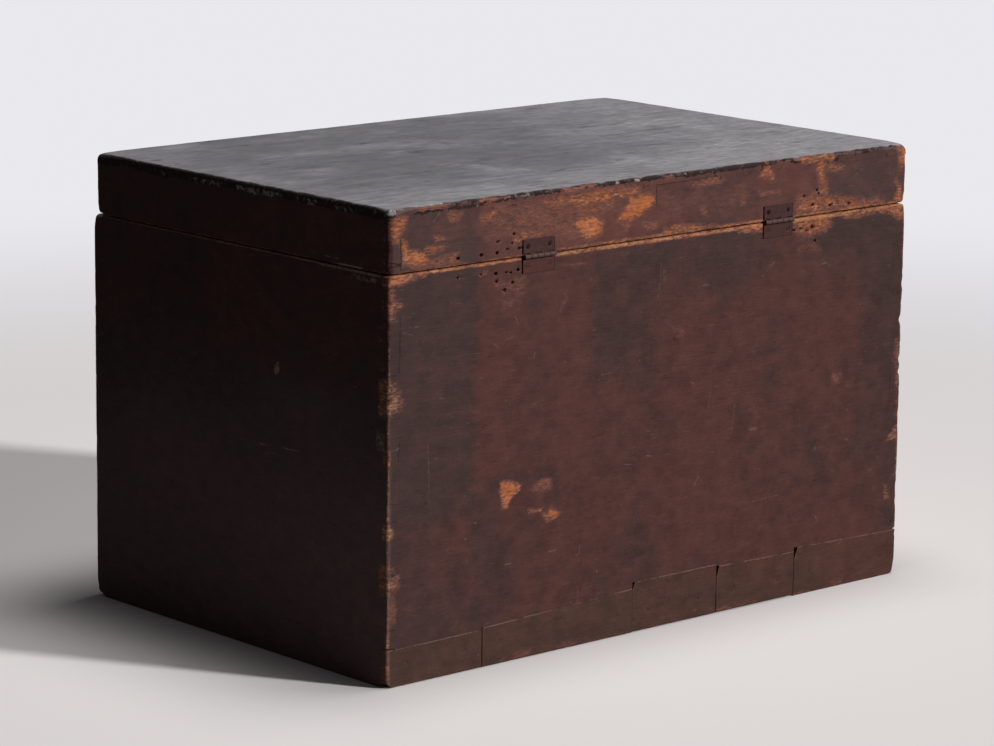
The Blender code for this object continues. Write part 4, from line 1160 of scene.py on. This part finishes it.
class ChestColours(bpy.types.PropertyGroup):
    """Colours of the paints, wood and iron."""

    paint_red: colour_setting("Red Paint", "Red-brown paint of the walls", 0.0765, 0.0272, 0.0219)
    paint_dull: colour_setting("Dull Paint", "Duller bands in the walls' paint", 0.048, 0.0235, 0.0208)
    paint_grey: colour_setting("Grey Paint", "Greyest bands in the walls' paint", 0.0452, 0.0262, 0.0248)
    paint_brown: colour_setting("Brown Paint", "Browner paint of the repair strips", 0.065, 0.0325, 0.0185)
    paint_dark: colour_setting("Dark Paint", "Dark nicks in the walls' paint", 0.020, 0.010, 0.009)
    # Also the painted highlight along the strips' upper edge
    paint_nick: colour_setting("Nicked Paint", "Pale nicks and scratches", 0.170, 0.100, 0.080)
    paint_chalky: colour_setting("Chalky Paint", "Pale lines and chips on the end", 0.270, 0.195, 0.150)
    paint_rubbed: colour_setting("Rubbed Paint", "Paint worn thin over wood", 0.150, 0.057, 0.042)
    wood_orange: colour_setting("Orange Wood", "Exposed wood", 0.380, 0.112, 0.034)
    wood_tan: colour_setting("Tan Wood", "Lighter exposed wood", 0.430, 0.158, 0.068)
    wood_dark: colour_setting("Dark Wood", "Dull exposed wood", 0.190, 0.062, 0.030)
    wood_pink: colour_setting("Pink Wood", "Pinkish exposed wood", 0.210, 0.078, 0.048)
    wood_pale: colour_setting("Pale Wood", "Bleached wood of worn corners", 0.350, 0.215, 0.125)
    pine: colour_setting("Pine", "Bare pine inside the chest", 0.400, 0.250, 0.130)
    pine_dark: colour_setting("Dark Pine", "Rings and stains in the bare pine", 0.250, 0.140, 0.070)
    top_black: colour_setting("Top Black", "Black paint of the lid's top", 0.028, 0.026, 0.029)
    # Grey of the lid's top: rubbed paint and painted reflection
    top_grey_and_reflection: colour_setting("Top Grey", "Rubbed areas of the lid's top", 0.232, 0.220, 0.232)
    # Pale chips, painted glints near the back's right end, and dust specks
    top_chip: colour_setting("Chipped Edge", "Pale chips along the lid's edge", 0.340, 0.318, 0.305)
    iron_paint: colour_setting("Painted Iron", "Paint on the hinges", 0.060, 0.0255, 0.0225)
    iron: colour_setting("Rubbed Iron", "Bare metal on the knuckles", 0.086, 0.053, 0.045)
    iron_dark: colour_setting("Dark Iron", "Nails and screws", 0.018, 0.011, 0.009)
    rust: colour_setting("Rust", "Rust on the iron", 0.058, 0.025, 0.017)
    studio: colour_setting("Studio Floor", "Pale floor", 0.790, 0.751, 0.737)


class ChestSizes(bpy.types.PropertyGroup):
    """Sizes of the grids and of the worn edges."""

    seen_grid: length_setting("Fine Grid", "Spacing on the seen walls, and wider on the lid's top", 0.00285)
    plain_grid: length_setting("Plain Grid", "Spacing of the points on the other boards", 0.0042)
    lid_grid: length_setting("Lid Grid", "Spacing of the points on the lid's rails", 0.0020)
    lid_edge_round: length_setting("Lid Edge", "Round of the lid's upper edge", 0.0042)
    rim_round: length_setting("Seam Edge", "Round of the edges where lid and carcase meet", 0.0022)


class ChestLight(bpy.types.PropertyGroup):
    """Strengths of the studio lights."""

    key: light_setting("Key", "Strength of the key light", 3.5)
    fill: light_setting("Fill", "Power of the overhead light in watts", 62.0)
    room: light_setting("Room", "Strength of the surrounding light", 0.042)
    background: light_setting("Background", "Brightness of the background", 0.85)
    reflected: light_setting("Reflected", "Brightness of reflected background", 0.56)
    dim_side: light_setting("Dim Side", "Share of reflected background on the dim side", 0.12)


def wall_board(side, level, extra=(), extra_rows=(), cut=None):
    """Makes one of the carcase's wall boards in its CAD node's stead, its outer sheet cut if asked."""
    face, _, tails, corners, seed = SIDES[side]
    sizes = bpy.context.scene.chest_sizes
    node = f"{side}_{level}_board" if tails else f"{side}_end_{level}_board"
    low, high = (corner[2] for corner in node_box(node))
    edges = {"whole": (0.0, RIM_Z), "lower": FOOT_ROUND, "upper": 0.0, "corners": (FOOT_CORNER, 0.0)}
    if level == "lower":
        high = BOARD_JOINT
    else:
        low, high = BOARD_JOINT, high - SEAM_EASE
        edges.update(lower=0.0, upper=sizes.rim_round * MM, corners=(0.0, RIM_CORNER))
    length = LENGTH if tails else DEPTH
    spacing = (sizes.seen_grid if side in ("back", "right") else sizes.plain_grid) * MM
    sheets = joined_wall(
        length, low, high, CARCASE_PINS, spacing, tails, corners, seed, edges, extra, extra_rows
    )
    if cut:
        cut(sheets[0])
    place_board(node, face, sheets)


def cut_hinge_seats(outer):
    """Lowers the outer sheet into the hinges' seats and the old nail holes."""
    across, upward = outer[..., 0], outer[..., 2]
    outer[..., 1] -= np.maximum(seat_depth(across, upward), soft_pits(across, upward, NAIL_HOLES, HOLE_DEPTH))


def strip_top(across):
    """Height of the repair strips' upper edge along the back, without their broken corners."""
    heights = np.full(across.shape, STRIPS[0][3])
    for start, end, _, right, left, *_ in STRIPS:
        inside = (across >= start - STRIP_LAP) & (across <= end + STRIP_LAP)
        heights = np.where(inside, right + (left - right) * (across - start) / (end - start), heights)
    return heights


def cut_strip_rebate(outer):
    """Moves the rows so that one pair follows the strips' upper edge, and sets the outer sheet back below."""
    across, upward = outer[..., 0], outer[..., 2]
    level = strip_top(across) + REBATE_LIFT
    moved = np.where(
        upward < REBATE_ROW, upward * (level - REBATE_STEP) / REBATE_ROW,
        level + (upward - REBATE_ROW) * (JOINT_Z - level) / (JOINT_Z - REBATE_ROW),
    )
    set_back = upward < REBATE_ROW + HAIR
    outer[..., 1] = np.where(set_back, -STRIP_DEPTH - STRIP_EASE, outer[..., 1])
    in_joint = np.minimum(across, LENGTH - across) < BASELINE + HAIR
    keep = in_joint & (upward > CARCASE_PINS[0][0] - FLARE - 1)
    outer[..., 2] = np.where(keep, upward, moved)


class ChestOperator:
    """What the chest's operators share: they run on the open scene and can be undone."""

    bl_options = {"REGISTER", "UNDO"}


class CHEST_OT_carcase(ChestOperator, bpy.types.Operator):
    """Makes the eight dovetailed wall boards with their worn corners, hinge seats and nail holes"""

    bl_idname = "chest.carcase"
    bl_label = "Carcase Boards"

    def execute(self, context):
        starts = np.array([start for start, *_ in STRIPS[1:]])
        joints = np.concatenate((starts - STRIP_LAP, starts, [end for _, end, *_ in STRIPS[:-1]]))
        wall_board("back", "lower", joints, (REBATE_ROW, REBATE_ROW + REBATE_STEP), cut_strip_rebate)
        seat = AXIS[2] - HINGE_REACH - SEAT_GAP + SEAT_EDGE
        rows = np.concatenate((seat, HOLE_ROWS[HOLE_ROWS < RIM_Z - HOLE_CLEAR]))
        wall_board("back", "upper", np.concatenate((SEAT_LINES, HOLE_COLUMNS)), rows, cut_hinge_seats)
        for level in ("lower", "upper"):
            for side in ("right", "front", "left"):
                wall_board(side, level)
        return {"FINISHED"}


class CHEST_OT_strips(ChestOperator, bpy.types.Operator):
    """Makes the five repair strips along the foot of the back, with broken corners and nail dimples"""

    bl_idname = "chest.strips"
    bl_label = "Repair Strips"

    def execute(self, context):
        for number, sizes in enumerate(STRIPS, 1):
            start, end, foot, right, left, chip_width, chip_depth, proud = sizes
            start, end = start - STRIP_EASE * (number > 2), end + STRIP_EASE * (1 < number < 5)
            nails = [
                (x, STRIP_NAIL_RISE, STRIP_DIMPLE) for x in (start + STRIP_NAIL_INSET, end - STRIP_NAIL_INSET)
            ]
            offsets = np.array((-STRIP_DIMPLE, -1.4, 0, 1.4, STRIP_DIMPLE))
            close = np.concatenate([x + offsets for x, *_ in nails])
            chip = start + np.linspace(0, chip_width, 4)
            columns = lines(np.concatenate((edge_lines(start, end), close, chip)), STRIP_GRID[0], start, end)
            shares = lines(edge_lines(0, STRIP_ROWS), STRIP_GRID[1], 0, STRIP_ROWS) / STRIP_ROWS
            across, share = np.meshgrid(columns, shares)
            top = right + (left - right) * (across - start) / (end - start)
            broken = np.clip(1 - (across - start) / chip_width, 0, 1)
            ragged = 0.4 * (along(across, 14, 90 + number) - 0.5)
            top = top - chip_depth * broken + ragged
            upward = foot + share * (top - foot)
            gap = across if number == 1 else LENGTH - across
            if number in (1, 5):
                upward = upward + fall(gap, FOOT_CORNER) * (1 - ramp(upward, 0, 23))
            out = proud - 0.5 * over(across, upward, 120, 40, 100 + number)
            out -= 0.15 * over(across, upward, 40, 4, 110 + number, 2)
            first = corner_radius("near", upward[:, :1]) if number == 1 else STRIP_ROUND
            last = corner_radius("far_back", upward[:, :1]) if number == 5 else STRIP_ROUND
            out -= fall(across - start, first) + fall(end - across, last)
            out -= 0.25 * (across > end - 0.2) * (number < 5)
            out -= fall(upward - foot, 0.9) + fall(np.maximum(top - upward, 0), 0.5)
            out -= soft_pits(across, upward, nails, 0.75)
            outer = np.stack((across, out, upward), axis=-1)
            inner = np.stack((across, np.full_like(out, STRIP_EASE - STRIP_DEPTH), upward), axis=-1)

            def fields(points):
                """Paint fields, pale chips and painted highlight on the strip's upper edge, and browner paint.
                """
                found = paint_fields(points)
                # Pale along the upper edge: chips, and a painted highlight of the ledge catching the light
                edge = np.interp(END_X - points[:, 0], columns, top[-1]) - points[:, 2]
                chips_and_highlights = 0.15 + 1.1 * along(points[:, 0], 26, 135 + number)
                found["pale"] = (1 - ramp(edge, 0.7, 2.8)) * chips_and_highlights
                found["brown"] = 0.05 + 0.6 * over(points[:, 0], points[:, 2], 60, 40, 145 + number)
                return found

            place_board(f"back_strip_{number}", BACK, (outer, inner), fields=fields)
        return {"FINISHED"}


class CHEST_OT_floor(ChestOperator, bpy.types.Operator):
    """Makes the bare floor boards and the cleats under them, slightly cupped and rough"""

    bl_idname = "chest.floor"
    bl_label = "Floor Boards"

    def execute(self, context):
        boards = [f"floor_board_{number}" for number in range(1, 6)]
        for seed, node in enumerate(boards + ["front_floor_cleat", "back_floor_cleat"]):
            low, high = node_box(node)
            width, depth, thick = high - low
            columns = lines(edge_lines(0, width), FLOOR_GRID, 0, width)
            rows = lines(edge_lines(0, depth), FLOOR_GRID, 0, depth)
            across, upward = np.meshgrid(columns, rows)
            edge = np.minimum(np.minimum(across, width - across), np.minimum(upward, depth - upward))
            out = -fall(edge, 1.4 + along(upward, 40, 140 + seed))
            out -= 0.7 * over(across, upward, 60, 220, 150 + seed)
            outer = np.stack((across, out, upward), axis=-1)
            inner = np.stack((across, np.full_like(across, -thick), upward), axis=-1)
            face = Face((low[0], low[1], high[2]), (1, 0, 0), (0, 0, 1), (0, 1, 0))
            place_board(node, face, (outer, inner), "old_pine", None)
        return {"FINISHED"}


class CHEST_OT_lid_rails(ChestOperator, bpy.types.Operator):
    """Makes the four dovetailed rails of the lid, with hinge seats and nail holes in the back one"""

    bl_idname = "chest.lid_rails"
    bl_label = "Lid Rails"

    def execute(self, context):
        sizes = context.scene.chest_sizes
        shift = END_X - LID_X
        seat = AXIS[2] + HINGE_REACH + SEAT_GAP + SEAT_EDGE
        columns = np.concatenate((SEAT_LINES - shift, HOLE_COLUMNS - shift))
        rows = np.concatenate((seat, HOLE_ROWS[HOLE_ROWS > LID_Z + HOLE_CLEAR]))
        rim = sizes.rim_round * MM
        edges = {"whole": (LID_Z, RAIL_Z), "lower": rim, "upper": 0.0, "corners": (LID_CORNER, 0.0)}
        for side, (_, face, tails, corners, seed) in SIDES.items():
            length = 2 * LID_X if tails else BACK_Y - LID_FRONT_Y
            sheets = joined_wall(
                length, LID_Z + SEAM_EASE, RAIL_Z + RAIL_LAP, LID_PINS, sizes.lid_grid * MM, tails, corners,
                seed + LID_SEED, edges, *((columns, rows) if side == "back" else ()),
            )
            if side == "back":
                sheets[0][..., 0] += shift
                cut_hinge_seats(sheets[0])
                sheets[0][..., 0] -= shift
            place_board(f"lid_{side}_rail", face, sheets)
        return {"FINISHED"}


class CHEST_OT_lid_top(ChestOperator, bpy.types.Operator):
    """Makes the two boards of the lid's top, with a worn round edge and rounded corners"""

    bl_idname = "chest.lid_top"
    bl_label = "Lid Top"

    def execute(self, context):
        sizes = context.scene.chest_sizes
        plans = (
            ("back", TOP_BACK, BACK_Y - LID_SEAM_Y, 1, (5.0, 8.5), 311),
            ("front", TOP_FRONT, LID_SEAM_Y - LID_FRONT_Y, -1, (5.0, 7.0), 321),
        )
        length, thick = 2 * LID_X, TOP_Z - RAIL_Z - TOP_EASE
        spacing = sizes.seen_grid * TOP_GRID * MM
        for side, face, width, way, corner_wear, seed in plans:
            columns = lines(edge_lines(0, length), spacing, 0, length)
            rows = lines(EDGE_OFFSETS, spacing, 0, width)
            share, upward = np.meshgrid(columns, rows)
            rounds = [CORNER_ROUNDS[name][1] for name in SIDES[side][3]]
            first, last = (fall(upward, radius) for radius in rounds)
            across = first + share * (length - first - last) / length
            end_gap = np.minimum(across, length - across)
            corner = np.where(across < length / 2, *rounds)
            round_corner = corner - np.hypot(corner - end_gap, corner - upward)
            in_corner = (end_gap < corner) & (upward < corner)
            gap = np.maximum(np.where(in_corner, round_corner, np.minimum(end_gap, upward)), 0)
            worn = sizes.lid_edge_round * MM * (0.72 + 0.5 * over(across, upward, 50, 50, seed))
            worn = worn + 1.6 * ramp(over(across, upward, 11, 11, seed + 5, 2), 0.6, 0.95)
            at_corner = np.exp(-((np.hypot(end_gap, upward) / TOP_CORNER_SPREAD) ** 2))
            worn = np.minimum(worn, TOP_EDGE_MOST) + np.where(across < length / 2, *corner_wear) * at_corner
            out = -fall(gap, np.minimum(worn, TOP_CORNER_MOST))
            from_seam = (width - upward) * way
            out -= 0.9 * over(across, from_seam, 260, 90, 320) + 0.10 * over(across, from_seam, 50, 5, 321, 2)
            outer = np.stack((across, out, upward), axis=-1)
            inner = np.stack((across, fall(width - upward, INNER_ROUND) - thick, upward), axis=-1)
            sheets = (outer, inner, None, LID_EDGE_LAYERS)
            place_board(f"lid_top_{side}_board", face, sheets, "worn_lid_paint", top_fields)
        return {"FINISHED"}


def joined(shells):
    """Several shells of points and faces as one."""
    points, faces, count = [], [], 0
    for shell_points, shell_faces in shells:
        points.append(shell_points)
        faces.append(shell_faces + count)
        count += len(shell_points)
    return np.concatenate(points), np.concatenate(faces)


def turned(profile, bend):
    """Closed turned surface: each (radius, height) of the profile, carried round the Z axis.

    bend changes the whole grid of points. The first and the last ring are closed with rows of quads across.
    """
    profile = np.array(profile, float)
    steps = TURN_STEPS
    angle = np.linspace(0, 2 * pi, steps, endpoint=False)
    radius, height = profile[:, 0][:, None], profile[:, 1][:, None]
    grid = np.stack((radius * np.cos(angle), radius * np.sin(angle), height + 0 * angle), axis=-1)
    bend(grid)
    index = np.arange(len(profile) * steps).reshape(len(profile), steps)
    after = np.roll(index, -1, axis=1)
    sides = np.stack((index[:-1], index[1:], after[1:], after[:-1]), axis=-1).reshape(-1, 4)
    row = np.arange(steps // 2 - 1)
    cap = np.stack((row, row + 1, steps - 2 - row, steps - 1 - row), axis=-1)
    faces = np.concatenate((sides, cap, cap[:, ::-1] + index[-1, 0]))
    return grid.reshape(-1, 3), faces


def barrel(x_low, x_high, radius, seed):
    """A knuckle: a profile with rounded ends carried round the hinge axis, with slight dents."""
    half = (x_high - x_low) / 2
    ease = np.linspace(0, pi / 2, 5)
    ends = [(radius - 0.5 + 0.5 * np.sin(angle), half - 0.5 + 0.5 * np.cos(angle)) for angle in ease]
    body = [(radius, place) for place in np.linspace(half - 0.5, 0.5 - half, 9)[1:-1]]
    tail = [(width, -place) for width, place in ends[::-1]]
    profile = [(radius * 0.3, half)] + ends + body + tail + [(radius * 0.3, -half)]

    def dent(grid):
        """Dents the round outside."""
        push = 0.10 * rough_noise(grid / 2.2 + seed, 400 + seed, 2)[..., None]
        grid[..., :2] *= 1 - push * (np.hypot(grid[..., 0], grid[..., 1]) > radius * 0.8)[..., None]

    points, faces = turned(profile, dent)
    turn = np.array(((0, 0, 1), (0, 1, 0), (-1, 0, 0)), float)
    moved = points @ turn.T + np.array(((x_low + x_high) / 2, AXIS[1], AXIS[2]))
    return moved, faces


def leaf_plate(middle, up):
    """A hinge leaf's plate: a thin slab whose outer sheet dips at its rounded edges and at the screws."""
    width, start, end = 2 * HINGE_HALF, PLATE_START, HINGE_REACH
    columns = lines(edge_lines(0, width), PLATE_GRID, 0, width)
    rows = lines((start + EDGE_OFFSETS[:5], end - EDGE_OFFSETS[:5]), PLATE_GRID, start, end)
    across, upward = np.meshgrid(columns, rows)
    edge = np.minimum(np.minimum(across, width - across), np.minimum(upward - start, end - upward))
    out = -PLATE_SET - fall(edge, 0.35) - 0.25 * over(across, upward, 9, 9, 410 + up)
    for screw in (SCREW_INSET, width - SCREW_INSET):
        near = np.hypot(across - screw, upward - (start + end) / 2)
        out -= DISH_DEPTH * (1 - ramp(near, *DISH_RADII))
    outer = np.stack((across, out, upward), axis=-1)
    inner = np.stack((across, np.full_like(out, -PLATE_BACK), upward), axis=-1)
    face = Face((END_X - middle + HINGE_HALF, BACK_Y, AXIS[2]), (-1, 0, 0), (0, 1, 0), (0, 0, up))
    return face.solid(outer, inner, layers=(0.5,))


class CHEST_OT_hinges(ChestOperator, bpy.types.Operator):
    """Makes the leaves of the butt hinges, with dented knuckles and dished screw seats, and their pins"""

    bl_idname = "chest.hinges"
    bl_label = "Hinges"

    def execute(self, context):
        pitch = 2 * HINGE_HALF / KNUCKLES
        for side, middle in zip(("right", "left"), HINGE_MIDDLES):
            for level, up in (("lower", -1), ("upper", 1)):
                shells = [leaf_plate(middle, up)]
                for number in range(level == "upper", KNUCKLES, 2):
                    x_low = END_X - middle - HINGE_HALF + pitch * number + KNUCKLE_GAP
                    shells.append(barrel(x_low, x_low + pitch - 2 * KNUCKLE_GAP, KNUCKLE_RADIUS, number))
                    corner = (x_low + KNUCKLE_GAP, BACK_Y - TAB_SET, AXIS[2])
                    tab = Face(corner, (1, 0, 0), (0, 1, 0), (0, 0, up))
                    across = np.linspace(0, pitch - 4 * KNUCKLE_GAP, 6)
                    shells.append(plate(tab, across, TAB_REACH, TAB_THICK))
                node = f"{side}_hinge_{level}_leaf"
                place(mesh_object("old_" + node, *joined(shells)), node, "painted_iron")
            node = f"{side}_hinge_pin"
            low, high = node_box(node)
            place(mesh_object("old_" + node, *barrel(low[0], high[0], PIN_RADIUS, 9)), node, "painted_iron")
        return {"FINISHED"}


class CHEST_OT_fasteners(ChestOperator, bpy.types.Operator):
    """Makes the slotted screws and the nails with their beaten heads"""

    bl_idname = "chest.fasteners"
    bl_label = "Screws and Nails"

    def execute(self, context):
        for node in sorted(frame["nodes"]):
            screw = "_screw_" in node
            if not screw and "_nail_" not in node:
                continue
            low, high = node_box(node)
            upright = node.startswith("lid_nail")
            head = (low + high) / 2
            along_axis = 2 if upright else 1
            head[along_axis] = high[along_axis]
            length = (high - low)[along_axis]
            seed = sum(node.encode()) % 97
            profile = SCREW_HEAD if screw else NAIL_HEAD
            profile = profile + [(profile[-1][0], TIP_LENGTH - length), (TIP_RADIUS, -length)]

            def beaten(grid):
                """Roughens the head's top and cuts a screw's slot."""
                top = grid[..., 2] > -0.2
                angle = seed * 0.7
                offset = grid[..., 0] * sin(angle) + grid[..., 1] * cos(angle)
                slot = np.where(np.abs(offset) < SLOT_HALF, SLOT_DEPTH, 0.0) if screw else 0.0
                grid[..., 2] -= np.where(top, slot + 0.35 * rough_noise(grid / 1.6 + seed, 430, 2), 0.0)

            points, faces = turned(profile, beaten)
            if not upright:
                points = points @ np.array(((1, 0, 0), (0, 0, -1), (0, 1, 0)), float)
            painted = node.startswith("strip") or "lower_screw" in node
            finish = "painted_iron" if painted else "old_fastener_iron"
            place(mesh_object("old_" + node, points + head, faces), node, finish)
        return {"FINISHED"}


class CHEST_OT_stage(ChestOperator, bpy.types.Operator):
    """Makes the pale floor, the soft lights, the background and the camera"""

    bl_idname = "chest.stage"
    bl_label = "Studio"

    def execute(self, context):
        scene, light = context.scene, context.scene.chest_light
        ground = Face((0, 0, 0), (1, 0, 0), (0, 0, 1), (0, 1, 0))
        across = np.linspace(-FLOOR_HALF, FLOOR_HALF, 25)
        floor = mesh_object("studio_floor", *plate(ground, across, across, FLOOR_THICK))
        pale = scene.chest_colours.studio
        floor.data.materials.append(new_material("studio_floor", floor_paint, pale, light.background))
        self.lamp("key_light", "SUN", light.key, KEY_ANGLE, KEY_OFFSET)
        self.lamp("overhead_light", "AREA", light.fill, FILL_SIZE, FILL_OFFSET)
        self.background(scene, light)
        self.camera(scene)
        scene.view_settings.view_transform = "Standard"
        return {"FINISHED"}

    def lamp(self, name, kind, power, size, offset):
        """A lamp that faces the middle of the chest: a distant round one or a near square one."""
        data = bpy.data.lights.new(name, kind)
        data.energy = power
        setattr(data, "angle" if kind == "SUN" else "size", size)
        lamp = bpy.data.objects.new(name, data)
        lamp.location = offset + CHEST_MIDDLE
        lamp.rotation_euler = (-offset).to_track_quat("-Z", "Y").to_euler()
        bpy.context.scene.collection.objects.link(lamp)

    def background(self, scene, light):
        """Dim surrounding light, pale to the camera and to reflections, which have one dim side."""
        scene.world = bpy.data.worlds.new("studio")
        sky = Shade(scene.world)
        sideways = sky.add("ShaderNodeSeparateXYZ", {0: sky.places["Generated"]}).outputs[0]
        values = {"Value": sideways, "From Max": 0.5, "To Min": 1.0, "To Max": light.dim_side}
        dimmed = sky.add("ShaderNodeMapRange", values).outputs["Result"]
        path = sky.add("ShaderNodeLightPath").outputs
        rays = {
            "Is Glossy Ray": sky.times(dimmed, light.reflected),
            "Is Transmission Ray": light.background,
            "Is Camera Ray": light.background,
        }
        level = light.room
        for ray, seen in rays.items():
            level = sky.add("ShaderNodeMix", {0: path[ray], 2: level, 3: seen}).outputs[0]
        sky.put(sky.shader.inputs["Color"], STUDIO_TINT)
        sky.put(sky.shader.inputs["Strength"], level)

    def camera(self, scene):
        """The photograph's camera: a long lens behind the chest, a little above its lid."""
        level = cos(CAMERA_ELEVATION)
        backward = Vector((sin(CAMERA_AZIMUTH) * level, -cos(CAMERA_AZIMUTH) * level, sin(CAMERA_ELEVATION)))
        right = (-backward).cross(Vector((0, 0, 1))).normalized()
        upward = right.cross(-backward)
        turned_right = right * cos(CAMERA_ROLL) + upward * sin(CAMERA_ROLL)
        turned_up = upward * cos(CAMERA_ROLL) - right * sin(CAMERA_ROLL)
        data = bpy.data.cameras.new("photo_camera")
        data.sensor_width = CAMERA_SENSOR
        data.lens = CAMERA_LENS
        camera = bpy.data.objects.new("photo_camera", data)
        rotation = Matrix((turned_right, turned_up, backward)).transposed().to_4x4()
        camera.matrix_world = Matrix.Translation(CAMERA_PLACE) @ rotation
        scene.collection.objects.link(camera)
        scene.camera = camera


class CHEST_PT_panel(bpy.types.Panel):
    """The chest's pieces and their settings, in the sidebar"""

    bl_label = "Painted Chest"
    bl_space_type = "VIEW_3D"
    bl_region_type = "UI"
    bl_category = "Chest"

    def draw(self, context):
        layout = self.layout
        for operator in OPERATORS:
            layout.operator(operator.bl_idname)
        for group in (context.scene.chest_sizes, context.scene.chest_colours, context.scene.chest_light):
            for name in group.bl_rna.properties.keys():
                if name not in ("rna_type", "name"):
                    layout.prop(group, name)


OPERATORS = (
    CHEST_OT_carcase, CHEST_OT_strips, CHEST_OT_floor, CHEST_OT_lid_rails, CHEST_OT_lid_top, CHEST_OT_hinges,
    CHEST_OT_fasteners, CHEST_OT_stage,
)
CLASSES = (ChestColours, ChestSizes, ChestLight, *OPERATORS, CHEST_PT_panel)


def register():
    for cls in CLASSES:
        bpy.utils.register_class(cls)
    bpy.types.Scene.chest_colours = bpy.props.PointerProperty(type=ChestColours)
    bpy.types.Scene.chest_sizes = bpy.props.PointerProperty(type=ChestSizes)
    bpy.types.Scene.chest_light = bpy.props.PointerProperty(type=ChestLight)


def unregister():
    del bpy.types.Scene.chest_light
    del bpy.types.Scene.chest_sizes
    del bpy.types.Scene.chest_colours
    for cls in reversed(CLASSES):
        bpy.utils.unregister_class(cls)


def main():
    register()
    for operator in OPERATORS:
        group, name = operator.bl_idname.split(".")
        getattr(getattr(bpy.ops, group), name)()


if __name__ == "__main__":
    main()
